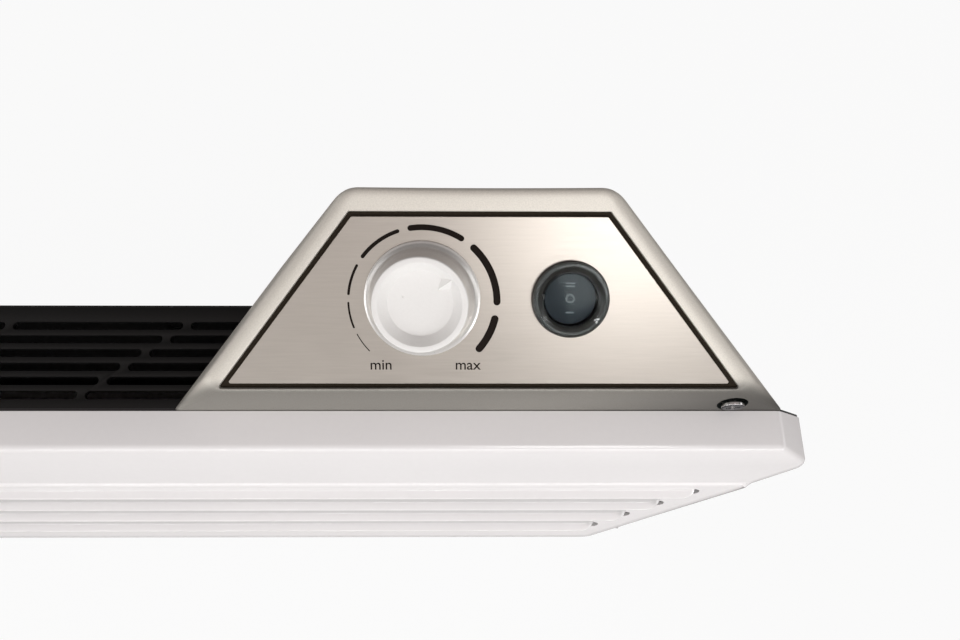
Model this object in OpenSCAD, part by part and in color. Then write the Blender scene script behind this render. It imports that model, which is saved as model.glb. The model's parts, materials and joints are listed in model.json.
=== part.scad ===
// Wall convector heater with a plug-in control module on its top right corner.
// X runs to the right, Y from the front to the wall, Z up. The origin is on the floor,
// under the middle of the heater's depth and width.

/* [Heater body] */
// Overall width of the front panel
heater_w = 640; // [620:10:900]
// Height of the front panel's top rim above the floor
heater_h = 400; // [370:5:480]
// Depth of the front panel's turned-back rim
rim_d = 14; // [12:0.5:18]
// Depth of the rear casing behind the rim
casing_d = 40; // [38:0.5:46]
// How far the casing's ends lie inside the panel's ends
casing_inset = 36; // [34:1:44]
// Thickness of the sheet steel
sheet_t = 1.2; // [1:0.1:1.6]
// Width of the cut corners of the front panel
corner_w = 12; // [10:0.5:16]
// Height of the cut corners of the front panel
corner_h = 11; // [9:0.5:15]
// How far the flange behind the panel keeps inside its outline
flange_inset = 0.8; // [0.4:0.1:1.5]

/* [Front facets] */
// How far the ridge stands out in front of the top edge
ridge_out = 23.7; // [20:0.1:28]
// How far the ridge lies below the top edge
ridge_drop = 74; // [72:0.5:84]
// How far the ridge's ends lie inside the panel's ends
ridge_inset = 73.4; // [65:0.2:90]
// How far the bottom edge lies behind the top edge
foot_back = 5; // [3:0.5:8]
// Height of the raised louvre field
field_h = 1; // [0.5:0.1:1.5]
// Slant distance from the top edge to the louvre field
field_start = 26.6; // [25:0.2:27.4]

/* [Louvres] */
// Number of louvres
louvre_count = 4; // [2:1:4]
// Slant distance from the top edge to the lip of the first louvre's hood
louvre_first = 32.6; // [32:0.2:34]
// Spacing of the louvres along the slant
louvre_pitch = 10.5; // [10:0.1:11]
// Height of the slot behind each hood
slot_h = 3.8; // [2.5:0.1:4]
// How far a hood stands out
hood_out = 3.6; // [2:0.1:4]
// Slant length of a hood
hood_run = 4; // [3.5:0.1:5]
// Distance along X from the hip edge to a slot's end
slot_inset = 11.5; // [10:0.1:16]
// How far a slot runs out beyond its hood
slot_run_out = 2.2; // [1:0.1:3]
// Width of the uncut middle of a slot
slot_web = 8; // [4:1:20]

/* [Outlet grille] */
// Thickness of the grille plates
grille_t = 2; // [1.6:0.1:2.5]
// How far the grille lies below the rim's top
grille_drop = 0.8; // [0.4:0.1:1.2]
// Number of slot rows
row_count = 6; // [4:1:6]
// Spacing of the rows
row_pitch = 5.3; // [5:0.1:5.4]
// Width of a slot
row_slot_w = 3.2; // [2.5:0.1:3.5]
// Distance from the panel's top edge to the middle of the rear row
row_rear = 46.6; // [46:0.1:47]
// Spacing of the slots in a row
cell_w = 66; // [50:1:90]
// Width of the web between two slots
web_w = 2.8; // [2.5:0.1:6]
// Sideways step of the webs from row to row
web_step = 6.9; // [3:0.1:9]
// Position of the rear row's web from the module's centre
web_start = -109; // [-120:1:-100]
// Length of plain plate at each end of the grille
grille_end = 14; // [12:1:20]
// Wall of the locating rib under a grille
rib_t = 2; // [1.5:0.1:2.5]
// Depth of the locating rib
rib_d = 7; // [6.5:0.1:9]

/* [Control module] */
// Distance from the heater's right end to the module's centre
module_inset = 120; // [118:1:130]
// Half the front width of the module's foot
foot_half_w = 109.4; // [106:0.2:111]
// Half the rear width of the module's foot
foot_rear_half_w = 73.5; // [72:0.5:75]
// Gap between the rim and the module
foot_gap = 0.4; // [0.2:0.1:0.8]
// Height of the front skirt
skirt_h = 15.9; // [15:0.1:18]
// How far the skirt leans back
skirt_run = 2.3; // [2:0.1:4]
// Tilt of the face from horizontal in degrees
face_tilt = 32; // [31:0.5:33]
// Length of the face up its slope
face_len = 68.6; // [68:0.2:70]
// Half width of the face at its front edge
face_half_w = 99.5; // [98:0.1:101]
// Half width of the face at its rear edge
face_top_half_w = 46.2; // [45:0.2:48]
// Wall of the housing
wall = 2.2; // [2:0.1:2.4]
// Wall of the housing under the face plate
face_wall = 4; // [3.8:0.1:4.5]
// Thickness of the module's base
base_t = 2.5; // [2:0.1:3]
// Radius of the housing's rear top corners
rear_corner_r = 9; // [8:0.5:10]
// Radius of the housing's front top corners
front_corner_r = 4.5; // [4:0.5:5]
// Height of the eased edge of the housing
edge_h = 3; // [2:0.5:3.5]
// Width of the eased edge of the housing
edge_w = 2; // [1.5:0.1:2]

/* [Face plate] */
// Border between the face's side edges and the recess
side_border = 7.5; // [6.5:0.1:8]
// Border between the face's front edge and the recess
low_border = 1.5; // [1.2:0.1:2]
// Border between the face's rear edge and the recess
top_border = 7.5; // [7:0.1:9]
// Thickness of the face plate
plate_t = 1; // [0.8:0.1:1.2]
// Thickness of the gasket under the plate
gasket_t = 0.6; // [0.4:0.1:0.8]
// Open groove round the plate
groove_w = 1.7; // [0.8:0.1:2]
// Distance of the knob and the switch from the face's front edge
control_v = 32.5; // [32:0.1:33]
// Position of the knob from the module's centre
knob_u = -19; // [-21:0.5:-18]
// Position of the switch from the module's centre
switch_u = 30; // [29:0.5:32]

/* [Knob] */
// Radius of the knob's foot
knob_foot_r = 19.2; // [18.5:0.1:20]
// Radius of the knob's top
knob_top_r = 15.1; // [15:0.1:16]
// Height of the knob
knob_h = 13; // [13:0.5:16]
// Gap between the knob and the plate
knob_gap = 0.6; // [0.4:0.1:1]
// Wall of the silver skirt
skirt_wall = 1.8; // [1.5:0.1:2]
// Radius of the flat disc in the cap
disc_r = 10; // [9:0.1:11]
// Depth of the disc below the cap's rim
disc_depth = 4.2; // [3:0.1:4.5]
// Width of the cap's rounded rim
cap_rim_w = 1.6; // [1:0.1:2]
// Direction of the pointer at rest, in degrees from +X
pointer_angle = 36; // [0:1:60]
// Radius of the spindle
spindle_r = 3; // [2.5:0.1:3.2]
// Size of the thermostat body along X
thermostat_w = 34; // [30:1:36]
// Size of the thermostat body up the face
thermostat_l = 28; // [24:1:28]
// Depth of the thermostat body
thermostat_d = 17; // [15:0.5:17]
// Radius of the threaded bush
bush_r = 5; // [4.5:0.1:5.5]
// Height of the bush above the plate
bush_h = 3.6; // [3:0.1:4]
// Thickness of the nut
nut_t = 2.4; // [2:0.1:2.8]

/* [Switch] */
// Outer radius of the bezel
bezel_r = 13; // [12.5:0.1:13.5]
// Height of the bezel
bezel_h = 2.6; // [2.2:0.1:3]
// Radius of the switch body
switch_r = 10; // [9.8:0.1:10.4]
// Depth of the switch body
switch_d = 18; // [16:0.5:18]
// Radius of the rocker
rocker_r = 8.6; // [8.2:0.1:8.6]
// Thickness of the rocker
rocker_t = 2.2; // [1.8:0.1:2.5]
// Depth of the rocker's pin below the plate
pin_depth = 3.6; // [3.4:0.1:4]
// Radius of the rocker's pin
pin_r = 1; // [0.8:0.1:1.2]
// Thickness of the clear cover
cover_t = 0.8; // [0.6:0.1:1]
// Crown of the clear cover
cover_crown = 1.2; // [0.6:0.1:2]

/* [Lock screw] */
// Position of the lock screw from the module's centre
lock_x = 89.3; // [89.2:0.1:90]
// Height of the lock screw above the grille
lock_z = 6.3; // [6.2:0.1:6.6]
// Radius of the recess for the lock screw
lock_recess_r = 5.35; // [5:0.05:5.5]
// Radius of the screw's head
lock_head_r = 3.9; // [3.5:0.1:4.2]
// Depth of the head's face behind the module's foot line
lock_head_set = 3.5; // [3.3:0.1:4]
// Radius of the lock screw's shank
lock_shank_r = 2; // [1.8:0.1:2.1]

/* [Connector] */
// Position of the connector from the module's centre
plug_x = 58; // [56:1:60]
// Distance of the connector from the panel's top edge
plug_y = 33; // [32:0.5:34]
// Width of the plug
plug_w = 26; // [24:0.5:28]
// Breadth of the plug
plug_b = 10; // [9:0.5:11]
// Depth of the plug below the module
plug_d = 16; // [14:0.5:18]
// Wall of the socket
socket_wall = 4; // [3:0.5:5]

/* [Heating element] */
// Distance from the casing's left end to the fins
fins_left_gap = 52; // [46:2:80]
// Distance from the casing's right end to the fins
fins_right_gap = 152; // [150:2:190]
// Height of the element above the floor
element_z = 92; // [80:1:120]
// Radius of the element's rod
rod_r = 4; // [3.5:0.1:4.5]
// Number of fins round the element
fin_count = 12; // [8:1:14]
// Reach of the fins
fin_r = 14.5; // [12:0.5:15]
// Thickness of a fin
fin_t = 1.2; // [1:0.1:1.6]
// Wall of the fins' middle tube
hub_t = 3; // [2.5:0.5:4]
// Length of an insulator
insulator_l = 9; // [8:0.5:12]
// Radius of an insulator
insulator_r = 8; // [7:0.5:9]
// Gap between the heat shield and the casing
shield_gap = 3.2; // [3:0.1:4]
// Thickness of the heat shield
shield_t = 0.8; // [0.6:0.1:1]
// Height of the heat shield's top edge
shield_top = 300; // [260:5:305]
// Radius of the sensing bulb
bulb_r = 3; // [2.5:0.1:3.5]
// Length of the sensing bulb
bulb_l = 70; // [50:1:90]
// Radius of the capillary
capillary_r = 1; // [0.8:0.1:1.2]
// Radius of a wire
wire_r = 1.4; // [1.2:0.1:1.6]

/* [Wall bracket] */
// Gap between the casing and the wall
wall_gap = 24; // [24:0.5:28]
// Width of the bracket
bracket_w = 300; // [240:10:340]
// Height of the bracket's lower edge
bracket_low = 90; // [70:5:110]
// Height of the bracket's top edge
bracket_high = 340; // [335:1:345]
// Width of the bracket's bars
bar_w = 24; // [20:1:30]
// Thickness of the bracket's plate
bracket_t = 1.5; // [1.2:0.1:2]
// Spacing of the hooks
hook_span = 240; // [180:10:250]
// Height of the hook above the floor
hook_z = 316; // [312:1:320]
// Width of a hook
hook_w = 12; // [10:1:16]
// Height of a hook's turned-up tip
hook_tip = 6; // [5:0.5:7]
// Radius of the wall screw holes
wall_hole_r = 2.75; // [2:0.05:3.5]
// Spacing of the wall screw holes along X
wall_hole_dx = 200; // [160:10:220]

/* [Foot screw holes] */
// Radius of the foot screw holes
foot_hole_r = 2.1; // [1.6:0.1:2.6]
// Distance from the casing's ends to the foot screw holes
foot_hole_inset = 64; // [52:2:100]
// Spacing of the foot screw holes along Y
foot_hole_dy = 24; // [22:0.5:25]

/* [Fits] */
// Radial clearance of a shaft in its bore
run_fit = 0.06; // [0.04:0.01:0.08]
// Clearance of a piece in its seat
seat_gap = 0.2; // [0.1:0.05:0.3]
// Clearance round pieces that move
move_gap = 0.4; // [0.3:0.1:0.5]

/* [Hidden] */
$fn = 48;
eps = 0.01;

half_w = heater_w / 2;
casing_half = half_w - casing_inset;
ridge_half = half_w - ridge_inset;
ridge_z = heater_h - ridge_drop;
facet_lean = atan(ridge_out / ridge_drop);
facet_len = norm([ridge_out, ridge_drop]);
front_reach = (facet_len - 0.5) * sin(facet_lean) + field_h * cos(facet_lean);
depth_total = front_reach + rim_d + casing_d + wall_gap;
// Y of the panel's top edge, of the rim's rear, of the casing's rear and of the wall
edge_y = front_reach - depth_total / 2;
rim_y = edge_y + rim_d;
back_y = rim_y + casing_d;
wall_y = back_y + wall_gap;
deck_z = heater_h - grille_drop;
module_x = half_w - module_inset;

// Half width of the upper facet at slant distance s from the top edge
corner_s = facet_len * corner_h / ridge_drop;
hip_slope = (half_w - ridge_half) / (facet_len - corner_s);
function hip_x(s) = half_w - (s - corner_s) * hip_slope;

face_slope = (face_half_w - face_top_half_w) / face_len;
face_stretch = norm([1, face_slope]);
function face_x(v) = face_half_w - v * face_slope;
foot_y = rim_d + foot_gap;
// Lean of the housing's rear wall over its height, and lean of its side walls in degrees
rear_lean = 1.4;
side_lean = 32;
foot_rear_y = foot_y + skirt_run + face_len * cos(face_tilt) + edge_h * sin(face_tilt) - rear_lean;
foot_slope = (foot_half_w - foot_rear_half_w) / (foot_rear_y - foot_y);
foot_stretch = norm([1, foot_slope]);
base_inset = wall + seat_gap + base_t * tan(side_lean);
// Depth of the recess that takes the plate and its gasket
recess_d = plate_t + gasket_t + 0.1;

bush_bore_r = spindle_r + run_fit;
pin_bore_r = pin_r + run_fit;
rocker_top = -0.4;
// Gap round the rocker, wide enough for its corners as it tips
rocker_gap = move_gap + 0.35;
// The lock screw's head, the floor it sits on, the cup round it and the bracket it grips
lock_head_t = 2.2;
lock_floor_y = foot_y + lock_head_set + lock_head_t;
cup_t = 1.3;
lug_t = 1.5;
lug_w = 9;
lug_gap = 0.3;
// Places of the inner parts
shield_y = back_y - sheet_t - shield_gap - shield_t;
element_y = rim_y + sheet_t + 16.5;
fins_left = fins_left_gap - casing_half;
fins_right = casing_half - fins_right_gap;
foot_x = casing_half - foot_hole_inset;
bulb_x = module_x + knob_u;
bulb_y = shield_y - bulb_r - 1;
bulb_z = 60;
cutout_x = 60;
cutout_z = 200;
earth_x = casing_half - 48;
earth_z = 300;
// Places on the module, measured from its centre and from the panel's top edge
shell_boss = [for (s = [-1, 1], p = [[78, 29], [50, 61]]) [s * p[0], p[1]]];
gland_x = 26;
// Clearance of the cord gland's flange behind the casing, and what it leaves free at the module's rear
gland_gap = 1.5;
gland_rear = 3.55;
gland_flange_r = (foot_rear_y - rim_d - casing_d - gland_gap - gland_rear) / 2;
gland_r = 0.6875 * gland_flange_r;
gland_bore_r = 0.4375 * gland_flange_r;
gland_y = rim_d + casing_d + gland_gap + gland_flange_r;

// Places

module at_module() translate([module_x, edge_y, deck_z]) children();
module on_face() at_module() translate([0, foot_y + skirt_run, skirt_h]) rotate([face_tilt, 0, 0]) children();
module at_knob() on_face() translate([knob_u, control_v, 0]) children();
module at_switch() on_face() translate([switch_u, control_v, 0]) children();
// The upper front facet: x along X, -y down the slant, z outward
module on_facet() translate([0, edge_y, heater_h]) rotate([90 - facet_lean, 0, 0]) children();

// Shapes used more than once

module box(x0, x1, y0, y1, z0, z1) translate([x0, y0, z0]) cube([x1 - x0, y1 - y0, z1 - z0]);

module tube(outer_r, inner_r, length) difference() {
    cylinder(h = length, r = outer_r);
    translate([0, 0, -1]) cylinder(h = length + 2, r = inner_r);
}

// A slot with round ends from x = a to x = b
module round_slot(a, b, w) {
    translate([a + w / 2, -w / 2]) square([b - a - w, w]);
    for (x = [a + w / 2, b - w / 2]) translate([x, 0]) circle(d = w, $fn = 24);
}

// A screw whose head's face is at z = 0 and whose shank points to -z
module screw(head_r, head_t, shank_r, length) {
    difference() {
        translate([0, 0, -head_t]) cylinder(h = head_t, r = head_r);
        for (a = [0, 90]) rotate(a) translate([-head_r * 0.6, -0.4, -head_t / 2]) cube([head_r * 1.2, 0.8, head_t]);
    }
    translate([0, 0, -length]) cylinder(h = length - head_t + eps, r = shank_r);
}

function unit(v) = v / norm(v);
// The points of a route with each bend eased over a length of ease
function eased(points, ease) = [
    points[0],
    for (i = [1:len(points) - 2])
        let (p = points[i],
             back = min(ease, norm(p - points[i - 1]) / 2.2), on = min(ease, norm(points[i + 1] - p) / 2.2),
             a = p + back * unit(points[i - 1] - p), b = p + on * unit(points[i + 1] - p))
        for (t = [0:0.25:1]) (1 - t) * (1 - t) * a + 2 * t * (1 - t) * p + t * t * b,
    points[len(points) - 1]];

// A round tube along a route whose bends are eased
module bent_rod(points, r, sides = 8) {
    path = eased(points, 8 * r);
    last = len(path) - 1;
    rings = [for (i = [0:last])
        let (t = unit(i == 0 ? path[1] - path[0] : i == last ? path[last] - path[last - 1] :
                      unit(path[i] - path[i - 1]) + unit(path[i + 1] - path[i])),
             side = unit(cross(t, [0.13, 0.99, 0.05])), up = cross(side, t))
        for (k = [0:sides - 1]) path[i] + r * (cos(k * 360 / sides) * side + sin(k * 360 / sides) * up)];
    polyhedron(rings, [
        [for (k = [0:sides - 1]) k],
        for (i = [0:last - 1], k = [0:sides - 1])
            let (a = i * sides + k, b = i * sides + (k + 1) % sides) each [[a, a + sides, b], [b, a + sides, b + sides]],
        [for (k = [sides - 1:-1:0]) last * sides + k]]);
}

// The octagon of the panel seen from the front, drawn in X and Z and kept d inside its outline
function panel_octagon(d) = let (w = half_w - d, c = corner_w - 0.4 * d, h = corner_h - 0.4 * d) [
    [-(w - c), d], [w - c, d], [w, d + h], [w, heater_h - d - h],
    [w - c, heater_h - d], [-(w - c), heater_h - d], [-w, heater_h - d - h], [-w, d + h]];

// The faceted front solid, kept t inside its outer faces and open to the rear when t is above 0
module faceted_front(t) {
    rear = t > 0 ? rim_y + 1 : rim_y;
    ring = panel_octagon(t);
    low_y = edge_y + foot_back + t;
    top_y = edge_y + t;
    ridge_y = edge_y - ridge_out + t;
    function lower_y(z) = ridge_y + (low_y - ridge_y) * (ridge_z - z) / ridge_z;
    function upper_y(z) = top_y - (top_y - ridge_y) * (heater_h - z) / ridge_drop;
    front = [for (p = ring) [p[0], p[1] > ridge_z ? upper_y(p[1]) : lower_y(p[1]), p[1]]];
    back = [for (p = ring) [p[0], rear, p[1]]];
    r = ridge_half - 0.4 * t;
    points = concat(front, back, [[r, ridge_y, ridge_z], [-r, ridge_y, ridge_z]]);
    polyhedron(points, [
        [2, 1, 0, 7, 17, 16], [4, 3, 16, 17, 6, 5], [3, 2, 16], [7, 6, 17],
        for (i = [0:7]) [i, (i + 1) % 8, 8 + (i + 1) % 8, 8 + i],
        [8, 9, 10, 11, 12, 13, 14, 15]]);
}

// Panel and casing

function louvre_s(i) = louvre_first + i * louvre_pitch;
// Distance from a hood's lip up to the middle of its slot
slot_lead = 0.9;
screw_heights = [60, heater_h / 2, heater_h - 60];
lug_x0 = casing_half + 8;

module front_panel() color([0.93, 0.93, 0.93]) {
    difference() {
        union() {
            difference() {
                faceted_front(0);
                faceted_front(sheet_t);
            }
            on_facet() translate([0, 0, -sheet_t / 2]) linear_extrude(field_h + sheet_t / 2)
                polygon([[-hip_x(field_start), -field_start], [hip_x(field_start), -field_start],
                         [hip_x(facet_len - 0.5), 0.5 - facet_len], [-hip_x(facet_len - 0.5), 0.5 - facet_len]]);
            for (s = [-1, 1], z = screw_heights)
                box(s > 0 ? lug_x0 : -half_w + sheet_t / 2, s > 0 ? half_w - sheet_t / 2 : -lug_x0,
                    rim_y - 7, rim_y, z - 7, z + 7);
        }
        for (i = [0:louvre_count - 1]) {
            s = louvre_s(i);
            reach = hip_x(s) - slot_inset;
            on_facet() for (side = [-1, 1]) translate([0, slot_lead - s, -3 * sheet_t])
                linear_extrude(5 * sheet_t + field_h)
                    round_slot(side > 0 ? slot_web / 2 : -reach, side > 0 ? reach : -slot_web / 2, slot_h);
        }
        for (s = [-1, 1], z = screw_heights)
            translate([s * screw_x, rim_y + 1, z]) rotate([90, 0, 0]) cylinder(h = 10, r = screw_bore_r);
    }
    for (i = [0:louvre_count - 1]) {
        s = louvre_s(i);
        reach = hip_x(s) - slot_inset - slot_run_out;
        root = slot_lead + slot_h / 2;
        on_facet() translate([-reach, -s, field_h]) rotate([90, 0, 90]) linear_extrude(2 * reach)
            polygon([[hood_run, -0.2], [hood_run, 0.1], [0.5, hood_out], [-0.3, hood_out], [-0.6, hood_out - 0.4],
                     [-0.6, hood_out - 1], [root, 0.1], [root, -0.2]]);
    }
}

screw_x = (casing_half + half_w) / 2;
screw_bore_r = 1.6;

module rear_casing() color([0.09, 0.09, 0.1]) {
    top = deck_z - grille_t;
    difference() {
        union() {
            translate([0, rim_y + sheet_t, 0]) rotate([90, 0, 0]) linear_extrude(sheet_t)
                polygon(panel_octagon(flange_inset));
            box(-casing_half, casing_half, rim_y, back_y, grille_t, top);
        }
        box(-casing_half + sheet_t, casing_half - sheet_t, rim_y - 1, back_y - sheet_t, grille_t - 1, top + 1);
        box(-casing_half, casing_half, rim_y + sheet_t, back_y + 1, -1, grille_t);
        for (s = [-1, 1]) translate([s * hook_span / 2, 0, 0])
            box(-hook_w / 2 - 1, hook_w / 2 + 1, back_y - 2 * sheet_t, back_y + 1,
                hook_z - hook_tip - 1.5, hook_z + bracket_t + 0.3);
        for (s = [-1, 1], z = screw_heights)
            translate([s * screw_x, rim_y + sheet_t + 1, z]) rotate([90, 0, 0]) cylinder(h = 4, r = screw_bore_r + 0.2);
        for (x = grille_screw_x, z = [rib_screw_z, deck_z - rib_screw_z])
            translate([x, back_y + 1, z]) rotate([90, 0, 0]) cylinder(h = 4, r = screw_bore_r + 0.2);
    }
}

grille_screw_x = [for (k = [-1.5:1:1.5]) k * (2 * casing_half - 60) / 3];
rib_screw_z = grille_t + rib_d / 2;

// A grille plate in X and Y, with its slots
module grille_outline(last_x) difference() {
    translate([-casing_half, rim_y + sheet_t]) square([2 * casing_half, casing_d - sheet_t]);
    left = -casing_half + grille_end;
    for (row = [0:row_count - 1]) {
        web = module_x + web_start - row * web_step;
        first = ceil((left - web) / cell_w) - 1;
        for (i = [first:floor((last_x - web) / cell_w)]) {
            a = max(web + i * cell_w + web_w / 2, left);
            b = min(web + (i + 1) * cell_w - web_w / 2, last_x);
            if (b - a > 2 * row_slot_w)
                translate([0, edge_y + row_rear - row * row_pitch]) round_slot(a, b, row_slot_w);
        }
    }
}

// The locating rib under a grille, with lugs for the screws, from z = 0 down
module grille_rib() {
    x0 = casing_half - sheet_t - seat_gap;
    y0 = rim_y + sheet_t + seat_gap;
    y1 = back_y - sheet_t - seat_gap;
    translate([0, 0, -rib_d]) difference() {
        union() {
            difference() {
                box(-x0, x0, y0, y1, 0, rib_d);
                box(-x0 + rib_t, x0 - rib_t, y0 + rib_t, y1 - rib_t, -1, rib_d + 1);
            }
            for (x = grille_screw_x) box(x - 4, x + 4, y1 - 4.2, y1, 0, rib_d);
        }
        for (x = grille_screw_x)
            translate([x, y1 + 1, rib_d / 2]) rotate([90, 0, 0]) cylinder(h = 7, r = screw_bore_r);
    }
}

module outlet_grille() color([0.06, 0.06, 0.06]) difference() {
    union() {
        translate([0, 0, deck_z - grille_t]) linear_extrude(grille_t) grille_outline(module_x - 62);
        translate([0, 0, deck_z - grille_t]) grille_rib();
    }
    at_module() {
        translate([plug_x, plug_y, -10]) linear_extrude(20) square([plug_w + 1, plug_b + 1], center = true);
        translate([knob_u, capillary_y, -10]) cylinder(h = 20, r = capillary_r + 1.5);
    }
}

module intake_grille() color([0.06, 0.06, 0.06]) difference() {
    union() {
        linear_extrude(grille_t) grille_outline(casing_half - grille_end);
        translate([0, 0, grille_t]) mirror([0, 0, 1]) grille_rib();
        for (x = [-1, 1], y = [-1, 1])
            translate([x * foot_x, foot_hole_y + y * foot_hole_dy / 2, 0])
                cylinder(h = grille_t + 5, r = foot_hole_r + 2.2);
    }
    for (x = [-1, 1], y = [-1, 1])
        translate([x * foot_x, foot_hole_y + y * foot_hole_dy / 2, -1])
            cylinder(h = grille_t + 7, r = foot_hole_r);
}

foot_hole_y = (rim_y + sheet_t + back_y) / 2;

module panel_screws() color([0.75, 0.75, 0.74])
    for (s = [-1, 1], z = screw_heights)
        translate([s * screw_x, rim_y + sheet_t + 1.6, z]) rotate([-90, 0, 0])
            screw(3.2, 1.6, screw_bore_r - 0.02, 8);

module grille_screws() color([0.2, 0.2, 0.2])
    for (x = grille_screw_x, z = [rib_screw_z, deck_z - rib_screw_z])
        translate([x, back_y + 1.6, z]) rotate([-90, 0, 0]) screw(3.2, 1.6, screw_bore_r - 0.02, 7);

// Control module

function foot_outline(d) = let (
    y0 = foot_y + d, y1 = foot_rear_y - d,
    x0 = foot_half_w - (y0 - foot_y) * foot_slope - d * foot_stretch,
    x1 = foot_half_w - (y1 - foot_y) * foot_slope - d * foot_stretch)
    [[-x0, y0], [x0, y0], [x1, y1], [-x1, y1]];

function face_outline(side, low, top) = let (
    x0 = face_x(low) - side * face_stretch, x1 = face_x(face_len - top) - side * face_stretch)
    [[-x0, low], [x0, low], [x1, face_len - top], [-x1, face_len - top]];

// An eased disc that rounds a corner of the face, d inside its outline and roof below the face
module corner_disc(v, r, d, roof) for (s = [-1, 1])
    translate([s * (face_x(v) - r * face_stretch), v, -edge_h - roof])
        cylinder(h = edge_h, r1 = r - d, r2 = r - d - edge_w, $fn = 32);

// The module's closed outer form, or with d and roof above 0 its hollow
module shell_form(d, roof) hull() {
    at_module() translate([0, 0, d > 0 ? -1 : 0]) linear_extrude(1) polygon(foot_outline(d));
    on_face() {
        corner_disc(front_corner_r, front_corner_r, d, roof);
        corner_disc(face_len - rear_corner_r, rear_corner_r, d, roof);
    }
}

module module_shell() color([0.72, 0.7, 0.64]) difference() {
    union() {
        difference() {
            shell_form(0, 0);
            shell_form(wall, face_wall);
        }
        intersection() {
            shell_form(0, 0);
            at_module() {
                for (p = shell_boss) translate([p[0], p[1], base_t + seat_gap]) cylinder(h = 60, r = 4);
                translate([lock_x, lock_floor_y + cup_t, lock_z]) rotate([90, 0, 0])
                    cylinder(h = 20, r = lock_recess_r + cup_t);
            }
        }
    }
    on_face() translate([0, 0, -recess_d]) linear_extrude(10)
        polygon(face_outline(side_border, low_border, top_border));
    at_knob() translate([0, 0, -10]) cylinder(h = 12, r = bush_r + seat_gap);
    at_switch() translate([0, 0, -10]) cylinder(h = 12, r = switch_r + seat_gap);
    at_module() {
        for (p = shell_boss) translate([p[0], p[1], 0]) cylinder(h = 12, r = screw_bore_r);
        translate([lock_x, lock_floor_y, lock_z]) rotate([90, 0, 0]) cylinder(h = 20, r = lock_recess_r);
        translate([lock_x, lock_floor_y + 5, lock_z]) rotate([90, 0, 0])
            cylinder(h = 10, r = lock_shank_r + seat_gap);
    }
}

module module_base() color([0.1, 0.1, 0.1]) at_module() difference() {
    union() {
        linear_extrude(base_t) polygon(foot_outline(base_inset));
        // Rear lip that hooks behind the casing
        box(-70, -10, rim_d + casing_d + seat_gap, rim_d + casing_d + 2, -9, 0.5);
    }
    for (p = shell_boss) translate([p[0], p[1], -1]) cylinder(h = 6, r = screw_bore_r + 0.3);
    translate([plug_x, plug_y, -1]) linear_extrude(6) square([plug_w + 0.6, plug_b + 0.6], center = true);
    translate([knob_u, capillary_y, -1]) cylinder(h = 6, r = capillary_r + 1.5);
    translate([gland_x, gland_y, -1]) cylinder(h = 6, r = gland_r + seat_gap);
    box(lock_x - lug_w / 2 - 1, lock_x + 20, foot_y - 2, lock_floor_y + cup_t + lug_gap + lug_t + 1, -1, 6);
    translate([lock_x, lock_floor_y + 10, lock_z]) rotate([90, 0, 0])
        cylinder(h = 20, r = lock_recess_r + cup_t + 0.5);
}

capillary_y = 36;

module face_gasket() color([0.08, 0.07, 0.06]) difference() {
    on_face() translate([0, 0, -recess_d]) linear_extrude(gasket_t)
        polygon(face_outline(side_border + 0.1, low_border + 0.1, top_border + 0.1));
    plate_holes();
}

module plate_holes() {
    at_knob() translate([0, 0, -5]) cylinder(h = 8, r = bush_r + seat_gap);
    at_switch() translate([0, 0, -5]) cylinder(h = 8, r = switch_r + seat_gap);
}

module face_plate() color([0.8, 0.77, 0.71]) difference() {
    on_face() translate([0, 0, gasket_t - recess_d]) linear_extrude(plate_t)
        polygon(face_outline(side_border + groove_w, low_border + groove_w, top_border + groove_w));
    plate_holes();
}

// Knob and thermostat

// Height in the skirt at which the cap rests, and height of the plate's top on the face
cap_seat = 4.4;
plate_top = gasket_t + plate_t - recess_d;
function knob_r(z) = knob_foot_r + (knob_top_r - knob_foot_r) * (z - knob_gap) / (knob_h - knob_gap);

module knob_skirt() color([0.74, 0.73, 0.71]) at_knob() rotate_extrude() polygon([
    [knob_r(knob_gap) - skirt_wall - 1, knob_gap], [knob_foot_r, knob_gap], [knob_foot_r, knob_gap + 0.8],
    [knob_foot_r - 0.5, knob_gap + 1.1], [knob_r(knob_h - 1.4), knob_h - 1.4],
    [knob_r(knob_h - 1.4) - skirt_wall, knob_h - 1.4], [knob_r(cap_seat) - skirt_wall - 1, cap_seat]]);

module knob_cap() color([0.9, 0.9, 0.88]) at_knob() difference() {
    inner = knob_r(knob_h - 1.4) - skirt_wall - 0.05;
    rotate_extrude() polygon([
        [spindle_r + run_fit, bush_h + move_gap], [spindle_r + 2.6, bush_h + move_gap],
        [spindle_r + 2.6, knob_h - disc_depth - 2], [inner - 1.6, knob_h - disc_depth - 2],
        [inner - 1.6, knob_h - disc_depth - 4], [inner, knob_h - disc_depth - 4], [inner, knob_h - 1.4],
        [knob_r(knob_h - 1.4), knob_h - 1.4], [knob_top_r, knob_h - 0.6], [knob_top_r - 0.6, knob_h],
        [knob_top_r - cap_rim_w, knob_h], [disc_r + 0.6, knob_h - disc_depth + 0.3],
        [disc_r, knob_h - disc_depth], [0, knob_h - disc_depth],
        [0, knob_h - disc_depth - 2], [spindle_r + run_fit, knob_h - disc_depth - 2]]);
    // Pointer notch in the dished band
    rotate(pointer_angle) translate([disc_r - 1.2, 0, knob_h - disc_depth - 0.7]) rotate([0, 0, 45])
        cube([3.2, 3.2, disc_depth]);
}

module thermostat_spindle() color([0.78, 0.77, 0.74]) at_knob() difference() {
    top = knob_h - disc_depth - 2.3;
    bottom = -face_wall - thermostat_d + 4;
    translate([0, 0, bottom]) cylinder(h = top - bottom, r = spindle_r);
    // The flat that keys the knob
    rotate(pointer_angle) translate([spindle_r - 1.2, -5, bush_h + 1]) cube([5, 10, 20]);
}

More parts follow.
